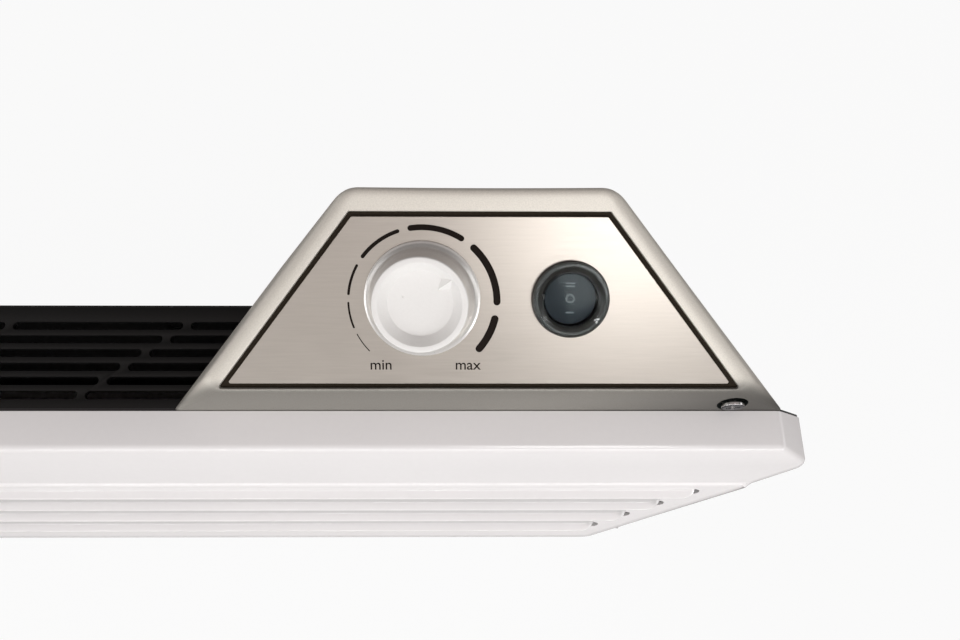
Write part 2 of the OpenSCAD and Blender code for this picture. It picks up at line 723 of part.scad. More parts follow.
module thermostat_body() color([0.62, 0.62, 0.6]) at_knob() difference() {
    union() {
        translate([-thermostat_w / 2, -thermostat_l / 2, -face_wall - thermostat_d])
            cube([thermostat_w, thermostat_l, thermostat_d]);
        translate([0, 0, -face_wall - 1]) cylinder(h = face_wall + 1 + bush_h, r = bush_r);
        for (s = [-1, 1]) translate([s * 8 - 2.4, -thermostat_l / 2 - 0.5, -face_wall - thermostat_d + 8])
            cube([4.8, thermostat_l + 7, 0.8]);
    }
    translate([0, 0, -face_wall - thermostat_d + 3.8]) cylinder(h = 40, r = bush_bore_r);
}

module thermostat_nut() color([0.8, 0.79, 0.76]) at_knob() translate([0, 0, plate_top]) difference() {
    cylinder(h = nut_t, r = bush_r + 2.9, $fn = 6);
    translate([0, 0, -1]) cylinder(h = nut_t + 2, r = bush_r + 0.02);
}

// A point of the module given on the face, in the heater's own frame
function face_point(u, v, n) = [
    module_x + u,
    edge_y + foot_y + skirt_run + v * cos(face_tilt) - n * sin(face_tilt),
    deck_z + skirt_h + v * sin(face_tilt) + n * cos(face_tilt)];

capillary_start = face_point(knob_u, control_v - thermostat_l / 2, -face_wall - thermostat_d + 5);

module capillary_tube() color([0.72, 0.42, 0.26]) bent_rod([
    capillary_start,
    [module_x + knob_u, edge_y + capillary_y, deck_z + 6.5],
    [module_x + knob_u, edge_y + capillary_y, deck_z - 60],
    [bulb_x, bulb_y, deck_z - 90],
    [bulb_x, bulb_y, bulb_z + bulb_l]], capillary_r);

module sensing_bulb() color([0.72, 0.42, 0.26]) translate([bulb_x, bulb_y, bulb_z]) cylinder(h = bulb_l, r = bulb_r);

module bulb_clip() color([0.7, 0.7, 0.7]) difference() {
    union() {
        translate([bulb_x, bulb_y, bulb_z + bulb_l / 2 - 5]) cylinder(h = 10, r = bulb_r + 1.2);
        box(bulb_x - 3, bulb_x + 3, bulb_y, back_y - sheet_t, bulb_z + bulb_l / 2 - 5, bulb_z + bulb_l / 2 + 5);
    }
    translate([bulb_x, bulb_y, 0]) cylinder(h = heater_h, r = bulb_r + 0.02);
}

// Switch

module switch_body() color([0.07, 0.07, 0.08]) at_switch() difference() {
    translate([0, 0, -switch_d]) cylinder(h = switch_d + plate_top, r = switch_r);
    translate([0, 0, -pin_depth - 3.4]) cylinder(h = switch_d, r = rocker_r + rocker_gap);
    rotate([0, 90, 0]) translate([pin_depth, 0, -switch_r - 1]) cylinder(h = 2 * switch_r + 2, r = pin_r + 0.01);
}

module switch_bezel() color([0.2, 0.22, 0.24]) at_switch() rotate_extrude() polygon([
    [rocker_r + rocker_gap, plate_top], [bezel_r, plate_top], [bezel_r, plate_top + bezel_h * 0.5],
    [bezel_r - 0.8, plate_top + bezel_h], [bezel_r - 2.2, plate_top + bezel_h],
    [rocker_r + rocker_gap, plate_top + bezel_h * 0.35]]);

module switch_cover() color([0.6, 0.7, 0.75, 0.4]) at_switch() {
    r0 = bezel_r - 0.8;
    z0 = plate_top + bezel_h;
    ball = (r0 * r0 + cover_crown * cover_crown) / (2 * cover_crown);
    arc = [for (k = [0:6]) let (x = r0 * k / 6) [x, z0 + 0.4 + sqrt(ball * ball - x * x) - ball + cover_crown]];
    rotate_extrude() polygon(concat(
        [for (p = arc) [p[0], p[1] + cover_t]],
        [[r0 + 0.4, z0 + 0.6], [r0 + 0.4, z0]],
        [[r0 - 1, z0]], [for (k = [5:-1:0]) arc[k]]));
}

module switch_rocker() color([0.16, 0.18, 0.2]) at_switch() difference() {
    union() {
        translate([0, 0, rocker_top - rocker_t]) cylinder(h = rocker_t, r = rocker_r);
        for (s = [-1, 1]) translate([s * 5 - 1, -2, -pin_depth - 2]) cube([2, 4, pin_depth + 1]);
    }
    rotate([0, 90, 0]) translate([pin_depth, 0, -10]) cylinder(h = 20, r = pin_bore_r);
}

module rocker_pin() color([0.8, 0.8, 0.78]) at_switch() rotate([0, 90, 0])
    translate([pin_depth, 0, -switch_r + 0.1]) cylinder(h = 2 * switch_r - 0.2, r = pin_r);

module switch_tabs() color([0.78, 0.72, 0.5]) at_switch() for (y = [-6, 0, 6])
    translate([-2.4, y - 0.4, -switch_d - 7]) cube([4.8, 0.8, 7]);

// Lock screw and module fixings

module lock_screw() color([0.85, 0.85, 0.83]) at_module()
    translate([lock_x, lock_floor_y - lock_head_t, lock_z]) rotate([90, 0, 0])
        screw(lock_head_r, lock_head_t, lock_shank_r, 12);

module lock_bracket() color([0.1, 0.1, 0.1]) at_module() difference() {
    y1 = lock_floor_y + cup_t + lug_gap;
    x0 = lock_x - lug_w / 2;
    x1 = lock_x + lug_w / 2;
    union() {
        box(x0, x1, rim_d + sheet_t, rim_d + sheet_t + lug_t, -22, -0.5);
        box(x0, x1, rim_d + sheet_t, y1 + lug_t, -0.5 - lug_t, -0.5);
        box(x0, x1, y1, y1 + lug_t, -0.5 - lug_t, lock_z + 5);
    }
    translate([lock_x, y1 + 5, lock_z]) rotate([90, 0, 0]) cylinder(h = 10, r = lock_shank_r + 0.02);
}

module shell_screws() color([0.2, 0.2, 0.2]) at_module() for (p = shell_boss)
    translate([p[0], p[1], base_t - 1.2]) cylinder(h = 7, r = screw_bore_r - 0.02);

module module_plug() color([0.12, 0.12, 0.12]) at_module() translate([plug_x, plug_y, 0]) difference() {
    union() {
        translate([0, 0, -plug_d]) linear_extrude(plug_d + base_t + 1) square([plug_w, plug_b], center = true);
        translate([0, 0, base_t]) linear_extrude(2.4) square([plug_w + 5, plug_b + 4], center = true);
    }
    for (x = [-8, 0, 8]) translate([x, 0, -plug_d - 1]) cylinder(h = plug_d, r = pin_hole_r);
}

pin_hole_r = 1.6;

module casing_socket() color([0.85, 0.84, 0.8]) at_module() translate([plug_x, plug_y, -grille_t]) difference() {
    depth = plug_d + 4;
    translate([0, 0, -depth]) linear_extrude(depth)
        square([plug_w + 2 * socket_wall, plug_b + 2 * socket_wall], center = true);
    translate([0, 0, 4 - depth]) linear_extrude(depth) square([plug_w + 1, plug_b + 1], center = true);
}

module socket_pins() color([0.8, 0.65, 0.35]) at_module() for (x = [-8, 0, 8])
    translate([plug_x + x, plug_y, -grille_t - plug_d]) cylinder(h = 14, r = pin_hole_r - 0.2);

module cord_gland() color([0.1, 0.1, 0.1]) at_module() translate([gland_x, gland_y, 0]) difference() {
    union() {
        translate([0, 0, -4]) cylinder(h = base_t + 9, r = gland_r);
        translate([0, 0, -2.5]) cylinder(h = 2.5, r = gland_flange_r);
    }
    translate([0, 0, -10]) cylinder(h = 30, r = gland_bore_r);
}

module gland_nut() color([0.12, 0.12, 0.12]) at_module() translate([gland_x, gland_y, base_t]) difference() {
    cylinder(h = 3, r = gland_flange_r + 0.1, $fn = 6);
    translate([0, 0, -1]) cylinder(h = 5, r = gland_r + 0.02);
}

// Heating parts

module heat_shield() color([0.75, 0.75, 0.76]) {
    box(fins_left - 24, fins_right + 24, shield_y, shield_y + shield_t, 40, shield_top);
    for (x = [fins_left, fins_right], z = [60, shield_top - 20])
        translate([x, back_y - sheet_t, z]) rotate([90, 0, 0]) cylinder(h = shield_gap, r = 4);
}

module element_fins() color([0.8, 0.8, 0.81]) translate([fins_left, element_y, element_z]) rotate([90, 0, 90])
    linear_extrude(fins_right - fins_left) difference() {
        union() {
            circle(r = rod_r + hub_t);
            for (k = [0:fin_count - 1]) rotate(k * 360 / fin_count)
                translate([rod_r + 1, -fin_t / 2]) square([fin_r - rod_r - 1, fin_t]);
        }
        circle(r = rod_r + 0.02);
    }

module element_rod() color([0.6, 0.58, 0.56])
    translate([fins_left - 30, element_y, element_z]) rotate([0, 90, 0])
        cylinder(h = fins_right - fins_left + 60, r = rod_r);

bracket_gap = 6;

module element_insulators() color([0.92, 0.9, 0.86]) for (side = [0, 1])
    translate([side ? fins_right + bracket_gap : fins_left - bracket_gap - insulator_l, element_y, element_z])
        rotate([0, 90, 0]) tube(insulator_r, rod_r + 0.02, insulator_l);

module element_brackets() color([0.72, 0.72, 0.73]) for (side = [0, 1]) {
    x = side ? fins_right + bracket_gap + insulator_l / 2 - 1 : fins_left - bracket_gap - insulator_l / 2 - 1;
    difference() {
        union() {
            box(x, x + 2, element_y - insulator_r - 3, shield_y, element_z - 14, element_z + 14);
            box(side ? x - 5 : x, side ? x + 2 : x + 7, shield_y - 1.5, shield_y, element_z - 14, element_z + 14);
        }
        translate([x - 10, element_y, element_z]) rotate([0, 90, 0]) cylinder(h = 20, r = insulator_r + 0.02);
    }
}

module element_terminals() color([0.8, 0.68, 0.4]) for (side = [0, 1])
    translate([side ? fins_right + 22 : fins_left - 28, element_y, element_z]) rotate([0, 90, 0]) difference() {
        cylinder(h = 6, r = rod_r + 2.5, $fn = 6);
        translate([0, 0, -1]) cylinder(h = 8, r = rod_r + 0.02);
    }

module overheat_cutout() color([0.88, 0.87, 0.82]) translate([cutout_x, shield_y, cutout_z]) rotate([90, 0, 0]) {
    cylinder(h = 7, r = 8);
    for (s = [-1, 1]) translate([s * 6 - 2, -3, 7]) cube([4, 0.8, 5]);
}

module earth_stud() color([0.8, 0.68, 0.4]) translate([earth_x, back_y - sheet_t, earth_z]) rotate([90, 0, 0]) {
    cylinder(h = 12, r = 2.5);
    translate([0, 0, 3]) cylinder(h = 3, r = 4.5, $fn = 6);
}

socket_foot = [module_x + plug_x, edge_y + plug_y, deck_z - grille_t - plug_d - 4];

module live_wire() color([0.45, 0.25, 0.12]) bent_rod([
    socket_foot + [8, 0, 0], socket_foot + [8, 0, -40],
    [fins_right + 60, element_y, element_z + 90],
    [fins_right + 60, element_y, element_z], [fins_right + 30, element_y, element_z]], wire_r);

module neutral_wire() color([0.15, 0.3, 0.6]) bent_rod([
    socket_foot + [-8, 0, 0], socket_foot + [-8, 0, -20],
    [cutout_x + 6, shield_y - 16, cutout_z + 60],
    [cutout_x + 6, shield_y - 12 - wire_r, cutout_z - 2.6]], wire_r);

module earth_wire() color([0.35, 0.6, 0.2]) bent_rod([
    socket_foot, socket_foot + [0, 0, -30],
    [earth_x, back_y - sheet_t - 12 - wire_r, earth_z + 16],
    [earth_x, back_y - sheet_t - 12 - wire_r, earth_z]], wire_r);

// Wall bracket

module wall_bracket() color([0.15, 0.15, 0.16]) {
    bw = bracket_w / 2;
    difference() {
        box(-bw, bw, wall_y - bracket_t, wall_y, bracket_low, bracket_high);
        box(-bw + bar_w, bw - bar_w, wall_y - bracket_t - 1, wall_y + 1, bracket_low + bar_w, bracket_high - bar_w);
        for (x = [-1, 1], z = [bracket_low + bar_w / 2, bracket_high - bar_w / 2])
            translate([x * wall_hole_dx / 2, wall_y + 1, z]) rotate([90, 0, 0]) cylinder(h = 5, r = wall_hole_r);
    }
    for (s = [-1, 1]) translate([s * hook_span / 2, 0, 0]) {
        box(-hook_w / 2, hook_w / 2, back_y - sheet_t - 0.4 - bracket_t, wall_y - bracket_t / 2, hook_z, hook_z + bracket_t);
        box(-hook_w / 2, hook_w / 2, back_y - sheet_t - 0.4 - bracket_t, back_y - sheet_t - 0.4,
            hook_z, hook_z + bracket_t + hook_tip);
        box(-hook_w / 2, hook_w / 2, back_y + buffer_t, wall_y - bracket_t / 2,
            bracket_low + bar_w / 2 - 6, bracket_low + bar_w / 2 + 6);
    }
}

buffer_t = 3;

module bracket_buffers() color([0.12, 0.12, 0.12]) for (s = [-1, 1])
    translate([s * hook_span / 2, back_y + buffer_t, bracket_low + bar_w / 2]) rotate([90, 0, 0])
        cylinder(h = buffer_t, r = 6);

front_panel();
rear_casing();
outlet_grille();
intake_grille();
panel_screws();
grille_screws();
module_shell();
module_base();
face_gasket();
face_plate();
knob_skirt();
knob_cap();
thermostat_spindle();
thermostat_body();
thermostat_nut();
capillary_tube();
sensing_bulb();
bulb_clip();
switch_body();
switch_bezel();
switch_cover();
switch_rocker();
rocker_pin();
switch_tabs();
lock_screw();
lock_bracket();
shell_screws();
module_plug();
casing_socket();
socket_pins();
cord_gland();
gland_nut();
heat_shield();
element_fins();
element_rod();
element_insulators();
element_brackets();
element_terminals();
overheat_cutout();
earth_stud();
live_wire();
neutral_wire();
earth_wire();
wall_bracket();
bracket_buffers();
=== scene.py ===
# %% [markdown]
# # A panel convector seen from above its control module
# The heater is a wide, shallow box of white sheet steel with a black grille on top. A wedge-shaped
# module is plugged into the grille's right end and carries the thermostat knob and a round switch.
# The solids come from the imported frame, already in place and in metres. This lesson gives them their
# finishes, and makes finer meshes for the pieces that the picture shows from close by.

import json
import math

import bmesh
import bpy
from mathutils import Matrix, Vector

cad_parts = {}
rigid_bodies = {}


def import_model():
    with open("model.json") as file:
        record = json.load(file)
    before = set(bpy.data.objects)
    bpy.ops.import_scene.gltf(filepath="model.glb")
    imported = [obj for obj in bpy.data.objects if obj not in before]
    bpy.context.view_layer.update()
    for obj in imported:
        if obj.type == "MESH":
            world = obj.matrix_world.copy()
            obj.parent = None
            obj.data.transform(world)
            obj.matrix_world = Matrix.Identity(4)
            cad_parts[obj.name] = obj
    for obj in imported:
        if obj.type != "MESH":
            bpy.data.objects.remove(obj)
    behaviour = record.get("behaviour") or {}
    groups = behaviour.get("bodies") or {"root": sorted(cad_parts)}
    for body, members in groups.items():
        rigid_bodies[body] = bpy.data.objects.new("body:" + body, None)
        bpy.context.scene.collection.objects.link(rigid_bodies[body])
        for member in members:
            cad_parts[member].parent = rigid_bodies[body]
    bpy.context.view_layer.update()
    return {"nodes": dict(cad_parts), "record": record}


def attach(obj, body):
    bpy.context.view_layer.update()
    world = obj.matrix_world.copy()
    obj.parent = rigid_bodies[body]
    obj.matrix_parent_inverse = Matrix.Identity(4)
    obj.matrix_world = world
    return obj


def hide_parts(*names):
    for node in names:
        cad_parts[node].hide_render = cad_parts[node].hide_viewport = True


for leftover in list(bpy.data.objects):
    bpy.data.objects.remove(leftover)
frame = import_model()

# %% [markdown]
# ## Places
# Sizes are written in millimetres, as on a drawing, and turned into metres by the frames below. Each
# frame is a matrix: the module's foot, the tilted face that carries the controls, and the upper front
# facet of the panel. A point on the face is given as (u, v, n): sideways, up the slope, and outwards.

# %% Frames of the module, the face and the front facet
MM = 0.001
HEATER_H = 400
EDGE_Y, DECK_Z, MODULE_X = -26.75, 399.2, 200
RIM_D, SHEET = 14, 1.2
FACE_TILT = math.radians(32)
FACET_LEAN = math.atan2(23.7, 74)
FACET_LEN = math.hypot(23.7, 74)


def frame_at(x, y, z, tilt=0.0):
    """A frame in metres at a point in mm, tilted about X."""
    return Matrix.Translation(Vector((x, y, z)) * MM) @ Matrix.Rotation(tilt, 4, "X") @ Matrix.Scale(MM, 4)


ROOM = frame_at(0, 0, 0)
MODULE = frame_at(MODULE_X, EDGE_Y, DECK_Z)
FACE = frame_at(MODULE_X, EDGE_Y + 16.7, DECK_Z + 15.9, FACE_TILT)
FACET = frame_at(0, EDGE_Y, HEATER_H, math.pi / 2 - FACET_LEAN)
KNOB = FACE @ Matrix.Translation((-19, 32.5, 0))
SWITCH = FACE @ Matrix.Translation((30, 32.5, 0))
print("knob centre in mm:", [round(1000 * c, 1) for c in KNOB.translation])

# %% [markdown]
# ## Tools of the bench
# A handful of helpers make every mesh: one joins a list of rings into a skin, one turns a profile round
# an axis, and one rounds the corners of a drawn line. They write the place into the mesh itself, so that
# each finished object sits at the origin, as the frame's own solids do.

# %% Rounded lines
def eased(points, radii, closed=True, steps=6):
    """The points with each corner rounded to its radius, by steps + 1 points where it has one."""
    points = [Vector(p) for p in points]
    count = len(points)
    line = []
    for i, p in enumerate(points):
        r = radii[i] if hasattr(radii, "__len__") else radii
        if r <= 0 or (not closed and i in (0, count - 1)):
            line.append(p)
            continue
        a, b = (points[i - 1] - p).normalized(), (points[(i + 1) % count] - p).normalized()
        half = a.angle(b) / 2
        centre = p + (a + b).normalized() * (r / math.sin(half))
        v0, v1 = p + a * (r / math.tan(half)) - centre, p + b * (r / math.tan(half)) - centre
        turn = v0.angle(v1)
        for k in range(steps + 1):
            t = k / steps
            line.append(centre + (v0 * math.sin((1 - t) * turn) + v1 * math.sin(t * turn)) / math.sin(turn))
    return line


def outline(corners, radii, steps=6, parts=8):
    """A closed line with every corner rounded and every straight side cut into parts."""
    line = eased(corners, radii, True, steps)
    out = []
    for i, p in enumerate(line):
        out.append(p)
        if (i + 1) % (steps + 1) == 0:
            following = line[(i + 1) % len(line)]
            out += [p.lerp(following, k / parts) for k in range(1, parts)]
    return out


print("rounded square:", len(outline([(0, 0, 0), (9, 0, 0), (9, 9, 0), (0, 9, 0)], [2] * 4)), "points")


# %% Meshes from points and rings
def mesh_piece(name, points, faces, place=ROOM, smooth=40):
    """A mesh object from points in the frame called place, shaded smoothly up to an angle in degrees."""
    mesh = bpy.data.meshes.new(name)
    mesh.from_pydata([place @ Vector(p) for p in points], [], faces)
    piece = bpy.data.objects.new(name, mesh)
    bpy.context.scene.collection.objects.link(piece)
    tidy(piece, smooth)
    return piece


def tidy(piece, smooth=40):
    """Merges doubles and turns the faces outwards."""
    sheet = bmesh.new()
    sheet.from_mesh(piece.data)
    bmesh.ops.remove_doubles(sheet, verts=sheet.verts, dist=1e-6)
    bmesh.ops.recalc_face_normals(sheet, faces=sheet.faces)
    sheet.to_mesh(piece.data)
    sheet.free()
    piece.data.shade_smooth()
    piece.data.set_sharp_from_angle(angle=math.radians(smooth))


def skin(rings, cap_first=True, cap_last=True):
    """Points and faces of a skin over rings that have equal numbers of points."""
    count = len(rings[0])
    points = [p for ring in rings for p in ring]
    faces = []
    for i in range(len(rings) - 1):
        for k in range(count):
            a, b = i * count + k, i * count + (k + 1) % count
            faces.append((a, b, b + count, a + count))
    if cap_first:
        faces.append(tuple(reversed(range(count))))
    if cap_last:
        faces.append(tuple(range((len(rings) - 1) * count, len(rings) * count)))
    return points, faces


block = mesh_piece("trial", *skin([[(0, 0, z), (9, 0, z), (9, 9, z), (0, 9, z)] for z in (0, 9)]))
print("a skin over two squares:", len(block.data.polygons), "faces")
bpy.data.objects.remove(block)


# %% Turning on a lathe
def turned(name, section, radii, place, sides=96, steps=4, smooth=40):
    """A section of (radius, height) turned round the third axis, closed on itself or at the axis."""
    line = eased([(r, z, 0) for r, z in section], radii, True, steps)
    on_axis = [p for p in line if p.x < 1e-6]
    points, faces = [], []
    for p in line:
        points += [(p.x * math.cos(k * math.tau / sides), p.x * math.sin(k * math.tau / sides), p.y)
                   for k in range(sides)]
    for i in range(len(line)):
        j = (i + 1) % len(line)
        if line[i] in on_axis and line[j] in on_axis:
            continue
        for k in range(sides):
            m = (k + 1) % sides
            faces.append((i * sides + k, i * sides + m, j * sides + m, j * sides + k))
    return mesh_piece(name, points, faces, place, smooth)


disc = turned("trial", [(0, 0), (5, 0), (5, 1), (0, 1)], 0, ROOM, sides=12)
print("a disc with 12 sides:", len(disc.data.polygons), "faces")
bpy.data.objects.remove(disc)


# %% Carving and baking
def carve(piece, tool, how="DIFFERENCE", smooth=40):
    """Joins or cuts the piece with a tool, then throws the tool away."""
    step = piece.modifiers.new("carve", "BOOLEAN")
    step.operation, step.solver, step.object = how, "EXACT", tool
    bake(piece)
    bpy.data.objects.remove(tool)
    tidy(piece, smooth)


def bake(piece):
    """Turns a piece and its modifiers into a plain mesh."""
    shape = bpy.data.meshes.new_from_object(piece.evaluated_get(bpy.context.evaluated_depsgraph_get()))
    piece.modifiers.clear()
    piece.data = shape


def rod(r, low, high, place, sides=64):
    """A plain round cutting tool along the third axis."""
    turns = [k * math.tau / sides for k in range(sides)]
    rings = [[(r * math.cos(a), r * math.sin(a), z) for a in turns] for z in (low, high)]
    return mesh_piece("tool", *skin(rings), place)


print("tools that carve take the piece, the tool and the way to join them")

# %% [markdown]
# ## Finishes
# Real paint, plastic and metal are never one flat colour. Each finish starts from a Principled shader.
# A fine noise on Object coordinates stands for the paint's orange peel, the spark-eroded skin of a
# moulding or the grain of rolled metal. It feeds the colour, the roughness and a small bump. A second,
# wide noise adds the faint clouds that a large sheet shows.

# %% Noise and the colour it gives
def noise(tree, vector, scale, detail):
    """A noise texture that reads a vector."""
    texture = tree.nodes.new("ShaderNodeTexNoise")
    texture.inputs["Scale"].default_value = scale
    texture.inputs["Detail"].default_value = detail
    tree.links.new(vector, texture.inputs["Vector"])
    return texture.outputs["Fac"]


def swinging(tree, measure, base, swing):
    """A colour that swings round its base as the noise does."""
    ramp = tree.nodes.new("ShaderNodeValToRGB")
    ends = ramp.color_ramp.elements
    ends[0].position, ends[1].position = 0.3, 0.7
    ends[0].color = [c * (1 - swing) for c in base] + [1]
    ends[1].color = [min(1, c * (1 + swing)) for c in base] + [1]
    tree.links.new(measure, ramp.inputs["Fac"])
    return ramp.outputs["Color"]


print("noise gives a measure from 0 to 1, and a ramp turns it into a colour")


# %% A finish with grain and clouds
def finish(name, colour, rough, metal=0.0, grain=900, stretch=(1, 1, 1), bump=0.15, mottle=0.03, clouds=0.02,
           coat=0.0, specular=0.5):
    """A material whose colour, roughness and bump follow fine grain and wide clouds."""
    material = bpy.data.materials.new(name)
    material.use_nodes = True
    tree = material.node_tree
    shader = tree.nodes["Principled BSDF"]
    shader.inputs["Metallic"].default_value = metal
    shader.inputs["Coat Weight"].default_value = coat
    shader.inputs["Coat Roughness"].default_value = 0.12
    shader.inputs["Specular IOR Level"].default_value = specular
    coordinates = tree.nodes.new("ShaderNodeTexCoord")
    mapping = tree.nodes.new("ShaderNodeMapping")
    mapping.inputs["Scale"].default_value = stretch
    tree.links.new(coordinates.outputs["Object"], mapping.inputs["Vector"])
    fine = noise(tree, mapping.outputs["Vector"], grain, 3)
    wide = noise(tree, coordinates.outputs["Object"], 22, 2)
    blend = tree.nodes.new("ShaderNodeMix")
    blend.data_type, blend.blend_type = "RGBA", "MULTIPLY"
    blend.inputs["Factor"].default_value = 1
    tree.links.new(swinging(tree, fine, colour, mottle), blend.inputs["A"])
    tree.links.new(swinging(tree, wide, (1, 1, 1), clouds), blend.inputs["B"])
    tree.links.new(blend.outputs["Result"], shader.inputs["Base Color"])
    gloss = tree.nodes.new("ShaderNodeMapRange")
    gloss.inputs["To Min"].default_value = max(0.02, rough - 0.05)
    gloss.inputs["To Max"].default_value = rough + 0.05
    tree.links.new(fine, gloss.inputs["Value"])
    tree.links.new(gloss.outputs["Result"], shader.inputs["Roughness"])
    relief = tree.nodes.new("ShaderNodeBump")
    relief.inputs["Strength"].default_value = bump
    relief.inputs["Distance"].default_value = 0.0002
    tree.links.new(fine, relief.inputs["Height"])
    tree.links.new(relief.outputs["Normal"], shader.inputs["Normal"])
    return material


print("a finish takes a colour, a roughness, a grain and clouds")

# %% The finishes of the heater
FINISHES = {
    "white_paint": finish("white_paint", (0.87, 0.86, 0.865), 0.16, grain=500, bump=0.03, mottle=0.006,
                          coat=0.5),
    # A copy of the white paint that carries painted shade under the louvre lips.
    "white_paint_lip_shade": finish("white_paint_lip_shade", (0.87, 0.86, 0.865), 0.16, grain=500, bump=0.03, mottle=0.006,
                          coat=0.5),
    "black_paint": finish("black_paint", (0.02, 0.02, 0.021), 0.5, grain=1800, bump=0.3, mottle=0.2),
    "champagne_silver": finish("champagne_silver", (0.74, 0.71, 0.645), 0.5, metal=0.55, grain=2600,
                               bump=0.06, mottle=0.07, coat=0.04),
    "face_metal": finish("face_metal", (0.50, 0.463, 0.42), 0.33, metal=1.0, grain=1600, stretch=(0.05, 1, 1),
                         bump=0.05, mottle=0.03),
    "knob_silver": finish("knob_silver", (0.88, 0.87, 0.85), 0.3, metal=0.65, grain=1500, bump=0.05),
    "knob_white": finish("knob_white", (0.85, 0.845, 0.83), 0.35, grain=1100, bump=0.06, mottle=0.01),
    "black_plastic": finish("black_plastic", (0.005, 0.005, 0.005), 0.42, grain=1500, bump=0.25, mottle=0.15,
                            specular=0.3),
    "switch_black": finish("switch_black", (0.03, 0.038, 0.046), 0.3, grain=1200, bump=0.04, mottle=0.1,
                           specular=0.2),
    "ring_grey": finish("ring_grey", (0.03, 0.027, 0.022), 0.3, grain=1200, bump=0.04, mottle=0.1, coat=0.25,
                        specular=0.4),
    # Painted shade for the inside of the screw's pocket.
    "pocket_painted_shade": finish("pocket_painted_shade", (0.02, 0.025, 0.024), 0.4, grain=1200, bump=0.1, mottle=0.1),
    "zinc": finish("zinc", (0.72, 0.73, 0.75), 0.28, metal=1.0, grain=1300, bump=0.1, mottle=0.08),
    "zinc_bright": finish("zinc_bright", (0.8, 0.8, 0.8), 0.16, metal=1.0, grain=1300, bump=0.05,
                          mottle=0.04),
    # Dark zinc, used on the lock screw's face as painted shade.
    "black_zinc": finish("black_zinc", (0.05, 0.05, 0.055), 0.35, metal=0.9, grain=1300, bump=0.1,
                         mottle=0.1),
    "brass": finish("brass", (0.78, 0.60, 0.28), 0.3, metal=1.0, grain=1200, bump=0.1, mottle=0.06),
    "copper": finish("copper", (0.80, 0.44, 0.28), 0.3, metal=1.0, grain=1000, bump=0.1, mottle=0.08),
    "aluminium": finish("aluminium", (0.78, 0.78, 0.79), 0.38, metal=1.0, grain=900, stretch=(0.05, 1, 1),
                        bump=0.12, mottle=0.05),
    "steel": finish("steel", (0.60, 0.59, 0.57), 0.36, metal=1.0, grain=1000, stretch=(1, 1, 0.1),
                    mottle=0.06),
    "ceramic": finish("ceramic", (0.80, 0.77, 0.70), 0.3, grain=500, bump=0.12, mottle=0.04, clouds=0.06),
    "gasket_foam": finish("gasket_foam", (0.024, 0.018, 0.012), 0.8, grain=2200, bump=0.5, mottle=0.3,
                          specular=0.1),
    "buffer_rubber": finish("buffer_rubber", (0.02, 0.02, 0.02), 0.75, grain=1600, bump=0.3, mottle=0.2),
    "live_brown": finish("live_brown", (0.16, 0.07, 0.03), 0.4, grain=1400, bump=0.06, mottle=0.05),
    "neutral_blue": finish("neutral_blue", (0.03, 0.11, 0.36), 0.4, grain=1400, bump=0.06, mottle=0.05),
    "earth_green": finish("earth_green", (0.07, 0.26, 0.05), 0.4, grain=1400, bump=0.06, mottle=0.05),
    "clear_edge": finish("clear_edge", (0.86, 0.92, 0.93), 0.07, grain=300, bump=0.02, mottle=0.01),
    "clear_cover": finish("clear_cover", (0.86, 0.92, 0.93), 0.07, grain=300, bump=0.02, mottle=0.01,
                          specular=0.04),
    "print_black": finish("print_black", (0.012, 0.008, 0.006), 0.6, grain=1500, bump=0.05, mottle=0.1,
                          specular=0.08),
    "print_white": finish("print_white", (0.22, 0.25, 0.26), 0.5, grain=1500, bump=0.05, mottle=0.05),
}
print("finishes:", len(FINISHES))

# %% [markdown]
# ## Painted shade
# A moulding that turns away from the light looks darker along its foot and at its end. Here that shade is
# painted: a finish's colour is multiplied by a tone that follows the object's own coordinates along a
# direction, or a value that the mesh stores at its points. The housing's skirt, its right end and the fold
# under each louvre lip get such painted shade. The clear cap's two plastics are told apart by how much they
# bend light.

# %% Tones that follow a measure
def paint_shade(slot, measure, low, high, tones):
    """Paints shade into a finish: multiplies its colour by a tone that follows a measure between two limits.
    """
    tree = FINISHES[slot].node_tree
    shader = tree.nodes["Principled BSDF"]
    before = shader.inputs["Base Color"].links[0].from_socket
    steps, product = tree.nodes.new("ShaderNodeMapRange"), tree.nodes.new("ShaderNodeMix")
    steps.interpolation_type = "SMOOTHSTEP"
    for label, value in zip(("From Min", "From Max", "To Min", "To Max"), (low, high) + tones):
        steps.inputs[label].default_value = value
    product.data_type, product.blend_type = "RGBA", "MULTIPLY"
    product.inputs["Factor"].default_value = 1
    tree.links.new(measure(tree), steps.inputs["Value"])
    tree.links.new(before, product.inputs["A"])
    tree.links.new(steps.outputs["Result"], product.inputs["B"])
    tree.links.new(product.outputs["Result"], shader.inputs["Base Color"])


def along(direction):
    """A measure: the object's own coordinates along a direction."""
    def measure(tree):
        coordinates, dot = tree.nodes.new("ShaderNodeTexCoord"), tree.nodes.new("ShaderNodeVectorMath")
        dot.operation = "DOT_PRODUCT"
        dot.inputs[1].default_value = direction
        tree.links.new(coordinates.outputs["Object"], dot.inputs[0])
        return dot.outputs["Value"]
    return measure


def stored(label):
    """A measure: a value that the mesh itself stores at its points."""
    def measure(tree):
        attribute = tree.nodes.new("ShaderNodeAttribute")
        attribute.attribute_name = label
        return attribute.outputs["Fac"]
    return measure


print("a tone follows a direction or a stored value")
